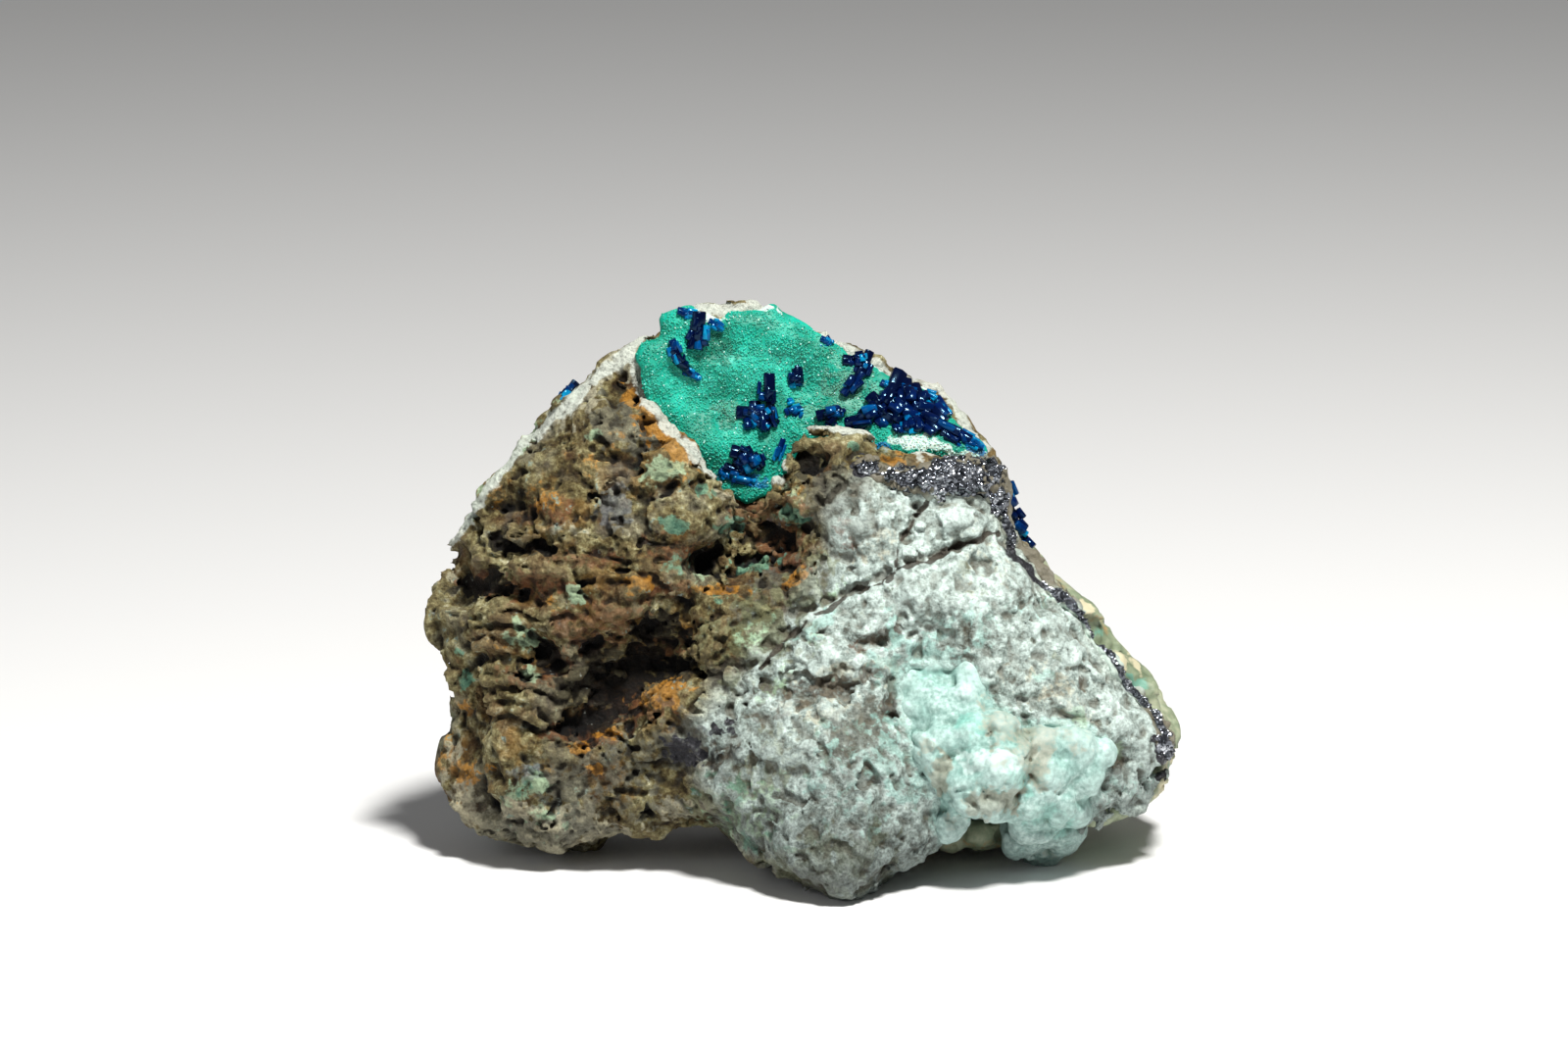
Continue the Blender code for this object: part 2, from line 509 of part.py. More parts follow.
def make_rock():
    """Front rock and back plate grown into one, roughened, with its caves, feet and pocket."""
    front_rock = slab(
        "front_rock", FRONT_OUTLINE, front_depth, lambda x, h: 0 * x + 15, FRONT_ROLL, SHARP, 2.0
    )
    plate = slab("plate", PLATE_OUTLINE, plate_front, back_depth, 0.5, BACK_ROLL, 2.0)
    rock = joined("matrix_rock", [front_rock, plate])
    remesh(rock, 0.8)
    roughen(rock, 6.0, 2.2, 1)
    roughen(rock, 2.4, 1.1, 2)
    move_vertices(rock, carve_caves)
    move_vertices(rock, lift_underside)
    thin_to(rock, ROCK_TRIANGLES)
    pocket = slab(
        "pocket",
        POCKET_OUTLINE,
        lambda x, h: np.where(h > 43.5, 0, front_depth(x, h) + WALL),
        plate_depth,
        SHARP,
        SHARP,
        3.0,
    )
    cut_away(rock, pocket)
    return rock


# ---------------------------------------------------------------- the crusts
def druse_front(x, h):
    """The front of the druse, uneven over the wall that it grows on."""
    bumps = [noise.noise(Vector((a, b, 0)) * 0.35) for a, b in zip(np.ravel(x), np.ravel(h))]
    return plate_depth(x, h) - DRUSE_THICK + 0.7 * np.array(bumps)


def make_druse():
    """The green crystal crust that lines the back of the pocket."""
    return slab(
        "green_druse",
        DRUSE_OUTLINE,
        druse_front,
        lambda x, h: plate_depth(x, h) - GAP,
        0.6,
        SHARP,
        1.35,
    )


def make_lumps():
    """The pale knobbly crust low on the front: lumps grown into each other."""
    balls = []
    for x, h, d, radius in LUMPS:
        bpy.ops.mesh.primitive_ico_sphere_add(
            subdivisions=3, radius=radius * 0.001, location=on_face([(x, h, d)])[0]
        )
        ball = bpy.context.object
        ball.data.transform(ball.matrix_world)
        balls.append(ball)
    lumps = joined("pale_lumps", balls)
    remesh(lumps, 0.45)
    roughen(lumps, 1.8, 0.5, 4)
    thin_to(lumps, LUMP_TRIANGLES)
    return lumps


def crust_shell(name, spacing, outward, inward, margin):
    """A shell about the rounded back right of the rock, this far out and in from its surface, and
    reaching this margin past the crust's broken edge."""
    shell = slab(
        name,
        CRUST_RIM,
        lambda x, h: 0 * x + CRUST_FRONT - 3,
        lambda x, h: back_depth(x, h) + CRUST_THICK,
        SHARP,
        BACK_ROLL,
        spacing,
    )
    work = bmesh.new()
    work.from_mesh(shell.data)
    work.faces.ensure_lookup_table()
    middles = off_face([f.calc_center_median() for f in work.faces])
    open_sides = (middles[:, 2] < CRUST_FRONT - 2.5) | (middles[:, 0] < 0.5)
    doomed = [work.faces[i] for i in np.nonzero(open_sides)[0]]
    bmesh.ops.delete(work, geom=doomed, context="FACES")
    work.to_mesh(shell.data)
    work.free()
    thickness = outward + inward
    modifier = shell.modifiers.new("Solidify", "SOLIDIFY")
    modifier.thickness = thickness * 0.001
    modifier.offset = (outward - inward) / thickness
    modifier.use_even_offset = True
    settle(shell)
    wider = 1 + margin / 12
    middle = np.array(CRUST_MIDDLE)
    reach = slab(
        name + "_reach",
        middle + (np.array(CRUST_REACH) - middle) * wider,
        lambda x, h: CRUST_FRONT - margin + 0.7 * np.sin(0.9 * x - 0.7 * h),
        lambda x, h: 0 * x + 60,
        SHARP,
        SHARP,
        2.5,
    )
    combine(shell, reach, "INTERSECT", folded=True)
    bpy.data.objects.remove(reach)
    return shell


def make_crust():
    """The thin crust over the back right, whose rim shows past the rock."""
    crust = crust_shell("back_crust", 1.5, 0.0, CRUST_THICK, 0)
    remesh(crust, 0.4)
    roughen(crust, 3.0, 0.7, 5)
    thin_to(crust, CRUST_TRIANGLES)
    return crust


# ---------------------------------------------------------------- crystals
def crystal(start, end, width, spin):
    """A six-sided crystal from start to end, in metres, with a wedge-shaped end."""
    axis = Vector(end) - Vector(start)
    bpy.ops.mesh.primitive_cylinder_add(vertices=6, radius=0.5, depth=1)
    obj = bpy.context.object
    work = bmesh.new()
    work.from_mesh(obj.data)
    for vertex in work.verts:
        if vertex.co.z > 0:
            vertex.co.x *= 0.55
            vertex.co.z -= 0.1 * abs(vertex.co.y)
    turn = axis.to_track_quat("Z", "Y").to_matrix().to_4x4()
    scale = Matrix.Diagonal((width, width * 0.85, axis.length, 1))
    middle = Matrix.Translation((Vector(start) + Vector(end)) / 2)
    place = middle @ turn @ Matrix.Rotation(spin, 4, "Z") @ scale
    bmesh.ops.transform(work, matrix=place, verts=work.verts)
    work.to_mesh(obj.data)
    work.free()
    return obj


def grow_cluster(name, rows):
    """Crystals from start to end, in millimetres on the face, grown together as one solid."""
    crystals = []
    for i, (start, end, width) in enumerate(rows):
        foot, tip = on_face([start, end])
        crystals.append(crystal(foot, tip, width * 0.001, 0.4 + 1.3 * i))
    cluster = crystals[0]
    cluster.name = name
    for other in crystals[1:]:
        combine(cluster, other, "UNION")
        bpy.data.objects.remove(other)
    return cluster


def on_druse(x, h, width):
    """Where a crystal of this width lies on the druse."""
    return x, h, druse_front([x], [h])[0] - 0.35 - 0.22 * width


def druse_cluster(name, crystals):
    rows = []
    for x0, h0, x1, h1, width in crystals:
        rows.append((on_druse(x0, h0, width), on_druse(x1, h1, width), width))
    return grow_cluster(name, rows)


def seam_point(x, h):
    """Where the seam's middle line runs at (x, h), just under the rolled edge of the rock."""
    inward = edge_distance(np.array([[x, h]]), FRONT_OUTLINE)
    return x, h, (front_depth([x], [h]) + rolled(inward, FRONT_ROLL))[0] + 0.2


def make_seam():
    """The seam of grey metallic crystals: blocks grown together along the rim."""
    generator = np.random.default_rng(7)
    seam = None
    for (x0, h0, width0), (x1, h1, width1) in zip(SEAM, SEAM[1:]):
        start, end = (Vector(p) for p in on_face([seam_point(x0, h0), seam_point(x1, h1)]))
        axis, width = end - start, (width0 + width1) * 0.0005 * generator.uniform(0.85, 1.2)
        bpy.ops.mesh.primitive_cube_add(size=1)
        block = bpy.context.object
        turn = axis.to_track_quat("Z", "Y").to_matrix().to_4x4()
        tilt = Matrix.Rotation(generator.uniform(-0.45, 0.45), 4, "X")
        spin = Matrix.Rotation(generator.uniform(0, 1.5), 4, "Z")
        size = Matrix.Diagonal((width * 1.3, width * 1.1, axis.length * 1.25, 1))
        block.data.transform(Matrix.Translation((start + end) / 2) @ turn @ tilt @ spin @ size)
        if seam is None:
            seam = block
            continue
        combine(seam, block, "UNION")
        bpy.data.objects.remove(block)
    seam.name = "galena_seam"
    return seam


# ---------------------------------------------------------------- the specimen
def main():
    for obj in list(bpy.data.objects):
        bpy.data.objects.remove(obj)
    rock = make_rock()
    druse = make_druse()
    lumps = make_lumps()
    crust = make_crust()
    seam = make_seam()
    clusters = [druse_cluster(*row) for row in DRUSE_CLUSTERS.items()]
    clusters += [grow_cluster(*row) for row in RIM_CLUSTERS.items()]
    cut_at_floor(lumps)
    cut_at_floor(crust, UNDERSIDE_LIFT - 0.3)
    make_room(crust, lumps)
    make_room(seam, lumps, crust, druse)
    cut_away(rock, crust_shell("crust_room", 2.5, 4.0, CRUST_THICK + 0.9, 0.8))
    for neighbour, triangles in ((lumps, 380), (seam, 260)):
        room = grown(neighbour, 0.5)
        thin_to(room, triangles)
        cut_away(rock, room)
    for neighbour in (lumps, seam, druse, crust):
        cut_away(rock, grown(neighbour, TOUCH))
    cut_at_floor(rock)
    for cluster in clusters:
        make_room(cluster, druse, rock, crust, seam)
        finish(cluster, (0.003, 0.035, 0.20), 0.15)
    finish(rock, (0.42, 0.36, 0.28), 0.85)
    finish(druse, (0.05, 0.50, 0.36), 0.35)
    finish(lumps, (0.62, 0.84, 0.78), 0.45)
    finish(crust, (0.55, 0.62, 0.45), 0.5)
    finish(seam, (0.10, 0.10, 0.115), 0.3, 0.9)


main()
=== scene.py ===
import functools
import math

import bmesh
import bpy
import numpy as np
from mathutils import Matrix, Vector
from mathutils.bvhtree import BVHTree


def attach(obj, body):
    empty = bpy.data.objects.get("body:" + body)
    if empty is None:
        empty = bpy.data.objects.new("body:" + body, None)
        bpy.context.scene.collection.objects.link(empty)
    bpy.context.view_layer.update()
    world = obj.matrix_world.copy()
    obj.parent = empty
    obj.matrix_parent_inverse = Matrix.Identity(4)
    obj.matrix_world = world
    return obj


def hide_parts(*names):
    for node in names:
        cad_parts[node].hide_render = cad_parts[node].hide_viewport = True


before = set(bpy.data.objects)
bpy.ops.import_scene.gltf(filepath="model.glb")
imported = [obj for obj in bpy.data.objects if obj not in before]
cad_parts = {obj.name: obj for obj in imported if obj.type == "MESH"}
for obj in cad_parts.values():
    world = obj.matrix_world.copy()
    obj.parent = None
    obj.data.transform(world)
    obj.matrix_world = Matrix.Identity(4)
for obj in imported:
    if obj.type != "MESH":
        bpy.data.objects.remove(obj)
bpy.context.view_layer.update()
bpy.ops.object.select_all(action="DESELECT")

# ---------------------------------------------------------------- matrix rock
# The body of the specimen: a broken piece of vein rock. Its left half is iron-stained, layered and
# full of caves where sulphides weathered out, and its right half is coated with a chalky pale
# crust. It leans back a little and stands on its own broken edge.
LEAN = math.radians(13)
FOOT_DEPTH = 3.0  # how far back on the face its front foot is, in millimetres
MIDDLE = (-0.27, 12.07)  # x and y of the specimen's middle, in millimetres from the front foot
SQUARES = 12  # squares of the drawing grid in a millimetre; it is counted from the upper left
FRONT_FOOT = (824, 915)  # column and row of the front foot on that grid


def on_face(points):
    """Points (x, h, d) in millimetres on the leaning face, as metres where the specimen stands."""
    x, h, d = np.asarray(points, float).T
    back = d - FOOT_DEPTH
    y = back * math.cos(LEAN) + h * math.sin(LEAN)
    z = h * math.cos(LEAN) - back * math.sin(LEAN)
    return np.stack([x - MIDDLE[0], y - MIDDLE[1], z], axis=1) * 0.001


def off_face(points):
    """The opposite of on_face: (x, h, d) in millimetres of points in metres."""
    x, y, z = (np.asarray(points, float) * 1000).T
    x, y = x + MIDDLE[0], y + MIDDLE[1]
    h = y * math.sin(LEAN) + z * math.cos(LEAN)
    d = y * math.cos(LEAN) - z * math.sin(LEAN) + FOOT_DEPTH
    return np.stack([x, h, d], axis=1)


def drawn(column, row):
    """x and h of a square of the drawing grid."""
    return (column - FRONT_FOOT[0]) / SQUARES, (FRONT_FOOT[1] - row) / SQUARES


TABLE = 64  # a noise repeats after this many bumps
TURN = np.array(Matrix.Rotation(0.6, 3, (1.0, 0.7, 0.4)))  # keeps noise off the drawing's axes


@functools.lru_cache(None)
def tables(seed, count):
    """Tables of chance numbers from 0 to 1 for a noise."""
    return np.random.default_rng(seed).random((count, TABLE**3), np.float32)


def corners_of(points, size):
    """For each corner of the cells that points lie in: its step, its weights and its table rows."""
    where = (points @ TURN / size if np.isscalar(size) else points / size).astype(np.float32).T
    cells = np.floor(where)
    part = where - cells
    ease = part * part * (3 - 2 * part)
    cells = cells.astype(np.int32)
    rows = [[((cells[i] + step) & (TABLE - 1)) * TABLE**i for step in (0, 1)] for i in range(3)]
    for corner in range(8):
        step = [(corner >> i) & 1 for i in range(3)]
        weight = 1.0
        for i in range(3):
            weight = weight * (ease[i] if step[i] else 1 - ease[i])
        yield step, part, weight, rows[0][step[0]] + rows[1][step[1]] + rows[2][step[2]]


def smooth_noise(points, size, seed):
    """Smooth noise from 0 to 1 whose bumps are this size, one number or one for each axis."""
    table = tables(seed, 1)[0]
    total = 0.0
    for _, _, weight, row in corners_of(points, size):
        total = total + weight * table[row]
    return total


def layered_noise(points, size, seed, layers=3):
    """Smooth noise with finer noise on it, from 0 to 1."""
    total, weights = 0.0, 0.0
    for layer in range(layers):
        weight = 0.55**layer
        finer = size / 2.03**layer if np.isscalar(size) else np.array(size) / 2.03**layer
        total = total + weight * smooth_noise(points, finer, seed + 17 * layer)
        weights += weight
    return total / weights


def knobs(points, size, seed):
    """Round knobs of about this size, pressed together with sharp creases between, from 0 to 1."""
    shifts = tables(seed, 3)
    nearest = np.float32(9.0)
    for step, part, _, row in corners_of(points - 0.5 * np.asarray(size), size):
        away = sum((step[i] + shifts[i][row] * 0.6 - 0.3 - part[i]) ** 2 for i in range(3))
        nearest = np.minimum(nearest, away)
    return 1 - np.minimum(nearest * 1.6, 1)


def facets(points, size, seed):
    """Flat broken faces of about this size, each with its own tilt and level, from -1 to 1."""
    shifts, tilts = tables(seed, 3), tables(seed + 1, 4)
    nearest, level = np.float32(9.0), np.float32(0.0)
    for step, part, _, row in corners_of(points, size):
        off = [step[i] + shifts[i][row] * 0.6 - 0.3 - part[i] for i in range(3)]
        away = off[0] ** 2 + off[1] ** 2 + off[2] ** 2
        tilted = sum(off[i] * (tilts[i][row] - 0.5) for i in range(3))
        level = np.where(away < nearest, tilts[3][row] - 0.5 + tilted * 2, level)
        nearest = np.minimum(nearest, away)
    return level * 1.6


def eased(value, low, high):
    """0 below low, 1 above high, and smooth between."""
    part = np.clip((value - low) / (high - low), 0, 1)
    return part * part * (3 - 2 * part)


def blurred(block, width):
    """A block of numbers averaged three times along each axis over this many neighbours."""
    half = width // 2
    for _ in range(3):
        for axis in range(3):
            edge = [(0, 0)] * 3
            edge[axis] = (half + 1, half)
            sums = np.cumsum(np.pad(block, edge, mode="edge"), axis=axis, dtype=np.float64)
            count = block.shape[axis]
            upper = np.take(sums, range(width, width + count), axis=axis)
            lower = np.take(sums, range(0, count), axis=axis)
            block = ((upper - lower) / width).astype(np.float32)
    return block


EDGE_STEEPNESS = 1.702  # of the logistic curve that comes nearest to a blurred edge


class Grid:
    """A block of points on the face, over a solid and a margin round it."""

    def __init__(self, solid, voxel, limits=(), margin=2.0):
        self.voxel = voxel
        work = bmesh.new()
        work.from_mesh(solid.data)
        bmesh.ops.remove_doubles(work, verts=work.verts, dist=1e-7)
        spots = off_face([v.co for v in work.verts])
        sides = [[v.index for v in reversed(f.verts)] for f in work.faces]
        work.free()
        self.low = spots.min(0) - margin
        self.outside = self.low[0]
        high = spots.max(0) + margin
        for axis, low, top in limits:
            self.low[axis] = max(self.low[axis], low - margin)
            high[axis] = min(high[axis], top + margin)
        self.shape = tuple(np.ceil((high - self.low) / voxel).astype(int))
        self.tree = BVHTree.FromPolygons(spots.tolist(), sides)

    def axes(self):
        return [self.low[i] + np.arange(self.shape[i]) * self.voxel for i in range(3)]

    def filled(self):
        """1 inside the solid and 0 outside, from rays along x through each row of points."""
        block = np.zeros(self.shape, np.float32)
        xs, hs, ds = self.axes()
        ahead = Vector((1, 0, 0))
        for j, h in enumerate(hs):
            for k, d in enumerate(ds):
                start, entry = Vector((self.outside, h, d)), None
                while True:
                    spot, normal, _, _ = self.tree.ray_cast(start, ahead)
                    if spot is None:
                        break
                    if normal.x < 0 and entry is None:
                        entry = spot.x
                    elif normal.x > 0 and entry is not None:
                        cover = np.minimum(xs - entry, spot.x - xs) / self.voxel + 0.5
                        np.maximum(block[:, j, k], np.clip(cover, 0, 1), out=block[:, j, k])
                        entry = None
                    start = spot + ahead * 1e-4
        return block

    def depth(self, block, width):
        """How deep each point lies below the softened surface of a filled block, in millimetres."""
        share = np.clip(blurred(block, width), 0.002, 0.998)  # keeps the logarithm finite
        spread = math.sqrt((width * width - 1) / 4) * self.voxel
        return spread * np.log(share / (1 - share)) / EDGE_STEEPNESS

    def near(self, depth, reach):
        """Which points lie within this reach of the surface, and where they are."""
        chosen = np.abs(depth) < reach
        places = np.argwhere(chosen)
        return chosen, self.low + places * self.voxel

    def sample(self, block, points):
        """The block's value at points on the face."""
        where = np.clip((points - self.low) / self.voxel, 0, np.array(self.shape) - 1.001)
        cells = where.astype(int)
        part = (where - cells).T
        total = 0.0
        for corner in range(8):
            step = np.array([(corner >> axis) & 1 for axis in range(3)])
            weight = 1.0
            for axis in range(3):
                weight = weight * (part[axis] if step[axis] else 1 - part[axis])
            total = total + weight * block[tuple((cells + step).T)]
        return total

    def skin(self, depth):
        """The surface where depth is 0, as points on the face and four-sided faces."""
        inside = depth > 0
        count = sum(
            inside[i : i - 1 or None, j : j - 1 or None, k : k - 1 or None].astype(np.int8)
            for i in (0, 1)
            for j in (0, 1)
            for k in (0, 1)
        )
        crossed = (count > 0) & (count < 8)
        number = np.full(crossed.shape, -1, np.int64)
        cells = np.argwhere(crossed)
        number[crossed] = np.arange(len(cells))
        sums, hits = np.zeros((len(cells), 3)), np.zeros(len(cells))
        unit = np.eye(3, dtype=int)
        for axis in range(3):
            side, other = unit[(axis + 1) % 3], unit[(axis + 2) % 3]
            for step in (side * 0, side, other, side + other):
                start = cells + step
                here, there = depth[tuple(start.T)], depth[tuple((start + unit[axis]).T)]
                cut = (here > 0) != (there > 0)
                part = here[cut] / (here[cut] - there[cut])
                sums[cut] += start[cut] + part[:, None] * unit[axis]
                hits[cut] += 1
        points = self.low + sums / hits[:, None] * self.voxel
        faces = []
        for axis in range(3):
            side, other = unit[(axis + 1) % 3], unit[(axis + 2) % 3]
            there = np.roll(inside, -1, axis=axis)
            edges = np.argwhere(inside != there)
            good = np.ones(len(edges), bool)
            for i in range(3):
                good &= edges[:, i] < self.shape[i] - 1
                good &= (edges[:, i] > 0) | (i == axis)
            edges = edges[good]
            ring = [edges, edges - side, edges - side - other, edges - other]
            quads = np.stack([number[tuple(cell.T)] for cell in ring], axis=1)
            inward = ~inside[tuple(edges.T)]
            quads[inward] = quads[inward][:, ::-1]
            faces.append(quads)
        return points, np.vstack(faces)


def new_piece(name, points, faces):
    """A mesh object of points in metres and faces that all have as many sides."""
    mesh = bpy.data.meshes.new(name)
    mesh.vertices.add(len(points))
    mesh.vertices.foreach_set("co", np.asarray(points, np.float32).ravel())
    mesh.loops.add(faces.size)
    mesh.loops.foreach_set("vertex_index", faces.astype(np.int32).ravel())
    mesh.polygons.add(len(faces))
    starts = np.arange(0, faces.size, faces.shape[1], dtype=np.int32)
    mesh.polygons.foreach_set("loop_start", starts)
    mesh.update(calc_edges=True)
    mesh.validate()
    piece = bpy.data.objects.new(name, mesh)
    bpy.context.scene.collection.objects.link(piece)
    return piece


def without_crumbs(piece):
    """Keeps the largest connected body of a mesh."""
    work = bmesh.new()
    work.from_mesh(piece.data)
    unseen, largest = set(work.verts), set()
    while unseen:
        queue = [unseen.pop()]
        body = set(queue)
        while queue:
            for edge in queue.pop().link_edges:
                for vertex in edge.verts:
                    if vertex in unseen:
                        unseen.remove(vertex)
                        body.add(vertex)
                        queue.append(vertex)
        largest = max(largest, body, key=len)
    loose = [v for v in work.verts if v not in largest]
    bmesh.ops.delete(work, geom=loose, context="VERTS")
    work.to_mesh(piece.data)
    work.free()


def keep_above_floor(piece):
    for vertex in piece.data.vertices:
        vertex.co.z = max(vertex.co.z, 0.0)


def thinned(piece, triangles):
    """Thins a mesh to this many triangles."""
    sides = sum(len(f.vertices) - 2 for f in piece.data.polygons)
    if sides > triangles:
        modifier = piece.modifiers.new("Decimate", "DECIMATE")
        modifier.ratio = triangles / sides
        bpy.context.view_layer.objects.active = piece
        bpy.ops.object.modifier_apply(modifier=modifier.name)


def spots_of(piece):
    """The vertices of a piece as (x, h, d) on the face."""
    spots = np.empty(len(piece.data.vertices) * 3)
    piece.data.vertices.foreach_get("co", spots)
    return off_face(spots.reshape(-1, 3))


def mark(piece, name, values):
    """Keeps one number for each vertex under this name, for the material."""
    attribute = piece.data.attributes.new(name, "FLOAT", "POINT")
    attribute.data.foreach_set("value", np.asarray(values, np.float32))


def ovals(points, rows, ragged, margin, inner, outer):
    """Where ovals drawn on the face lie, as their strength, with edges pushed about by ragged. Each
    is a column, a row, half a length and half a width in squares, a tilt in degrees and a strength.
    They fade from inner to outer, counted in half widths, and are not looked for past margin."""
    total = np.zeros(len(points))
    for column, row, length, width, tilt, strength in rows:
        x, h = drawn(column, row)
        turn = math.radians(tilt)
        across, up = points[:, 0] - x, points[:, 1] - h
        size = margin * max(length, width) / SQUARES
        there = (np.abs(across) < size) & (np.abs(up) < size)
        across, up = across[there], up[there]
        along = (across * math.cos(turn) + up * math.sin(turn)) * SQUARES / length
        side = (up * math.cos(turn) - across * math.sin(turn)) * SQUARES / width
        reach = np.hypot(along, side) + ragged[there]
        total[there] = np.maximum(total[there], strength * (1 - eased(reach, inner, outer)))
    return total


def patches(points, rows, seed, rough=0.5):
    """Where drawn patches of a mineral lie, from 0 to 1, with ragged edges."""
    ragged = layered_noise(points, 1.7, seed, 2) + layered_noise(points, 0.6, seed + 7, 2) - 1
    return ovals(points, rows, ragged * 3 * rough, 1.3 + rough * 2, 0.45, 1.3)


def bent_by(points, size, strength, seed):
    """Points pushed about by smooth noise, so that what is drawn on them wanders."""
    push = [smooth_noise(points, size, seed + i) - 0.5 for i in range(3)]
    return points + np.stack(push, axis=1) * strength


def away_from(points, start, way):
    """How far points lie from a line on the face that leads this way from its start."""
    off = points[:, :2] - start
    along = np.clip(off @ way / (way @ way), 0, 1)
    return np.linalg.norm(off - along[:, None] * way, axis=1)


def line_patches(points, runs, width, seed):
    """Where lines drawn on the face run, from 0 to 1: each is a list of (column, row)."""
    wobble = layered_noise(points, 0.9, seed, 3) - 0.5
    drift = bent_by(points, 1.8, 0.8, seed + 5)
    nearest = np.full(len(points), 99.0)
    for run in runs:
        corners = [np.array(drawn(*corner)) for corner in run]
        for start, end in zip(corners, corners[1:]):
            nearest = np.minimum(nearest, away_from(drift, start, end - start))
    return 1 - eased((nearest + wobble * 0.7) * SQUARES / width, 0.3, 1.2)


PALE_SIDE = [
    (852, 512), (880, 492), (935, 488), (1012, 505), (1040, 560), (1090, 612), (1145, 680),
    (1200, 745), (1215, 800), (1150, 850), (1100, 900), (1000, 880), (880, 930), (838, 912),
    (800, 880), (752, 852), (716, 800), (700, 752), (742, 706), (765, 668), (800, 628), (828, 596),
    (846, 556),
]  # fmt: skip


def inside_outline(points, outline):
    """Signed distance in millimetres to a drawn outline, positive inside."""
    corners = np.array([drawn(*corner) for corner in outline])
    runs = np.roll(corners, -1, axis=0) - corners
    nearest = np.full(len(points), 99.0)
    crossings = np.zeros(len(points), int)
    for start, way in zip(corners, runs):
        nearest = np.minimum(nearest, away_from(points, start, way))
        up = points[:, 1] - start[1]
        crosses = (up > 0) != (up > way[1])
        level = start[0] + way[0] * up / (way[1] if way[1] else 1e-9)
        crossings += crosses & (points[:, 0] < level)
    return np.where(crossings % 2 == 1, nearest, -nearest)


def pale_share(points, low=-0.5, high=0.7):
    """1 on the pale side of the rock, 0 on the brown side."""
    wander = (layered_noise(points, 2.2, 3, 3) - 0.5) * 3.0
    return eased(inside_outline(points, PALE_SIDE) + wander, low, high)


DIP = math.radians(-9)  # the layers of the brown rock fall to the right
SMOOTH_BROWN = [  # the calmer parts of the brown side
    (775, 640, 46, 24, 35, 1.0), (622, 522, 22, 18, 0, 0.8), (560, 810, 90, 34, -12, 0.8),
    (690, 800, 60, 40, 0, 0.6), (835, 545, 24, 36, 0, 0.5),
]  # fmt: skip
CLEFTS = [  # caves and clefts, each with its depth in millimetres at the end
    (640, 700, 72, 22, 42, 4.6), (604, 735, 34, 16, 10, 3.2), (652, 668, 26, 14, 80, 3.6),
    (620, 716, 22, 20, 0, 3.0), (490, 592, 20, 8, 16, 3.6), (505, 602, 22, 7, -8, 3.4),
    (520, 560, 26, 6, -12, 2.6), (544, 553, 20, 6, 10, 2.2), (665, 640, 26, 10, 40, 3.2),
    (690, 676, 30, 8, -14, 3.4), (672, 684, 16, 9, 20, 2.8),
    (716, 578, 9, 16, 20, 3.6), (727, 563, 14, 8, 30, 3.0), (552, 668, 12, 14, -20, 2.8),
    (564, 680, 12, 8, 10, 2.4), (784, 556, 40, 26, 0, 2.0), (766, 572, 26, 10, 30, 2.2),
    (829, 473, 15, 12, 0, 4.4), (801, 490, 8, 15, 30, 3.2), (505, 548, 11, 6, 30, 2.4),
    (514, 560, 5, 9, 0, 1.8), (556, 560, 10, 5, 0, 2.0), (600, 655, 15, 8, 20, 2.4),
    (655, 735, 22, 8, 30, 2.2), (585, 752, 26, 5, -12, 1.6), (800, 520, 12, 8, 0, 1.6),
]  # fmt: skip
PALE_VALLEYS = [  # valleys of the pale side, each with its depth
    (815, 700, 60, 17, 4, 0.9), (895, 650, 26, 9, 10, 0.9), (910, 722, 7, 26, 5, 0.8),
    (935, 752, 20, 6, -10, 0.8), (957, 790, 20, 8, -30, 0.9), (1040, 720, 8, 26, 20, 0.5),
    (1103, 696, 7, 12, 0, 0.7), (870, 600, 90, 5, 26, 0.8), (962, 562, 40, 4, 20, 0.6),
    (930, 530, 6, 30, -20, 0.6), (1055, 845, 14, 6, -30, 0.8), (1085, 790, 10, 30, 25, 0.7),
    (780, 660, 40, 8, 50, 0.7), (990, 845, 26, 8, 0, 0.9),
]  # fmt: skip


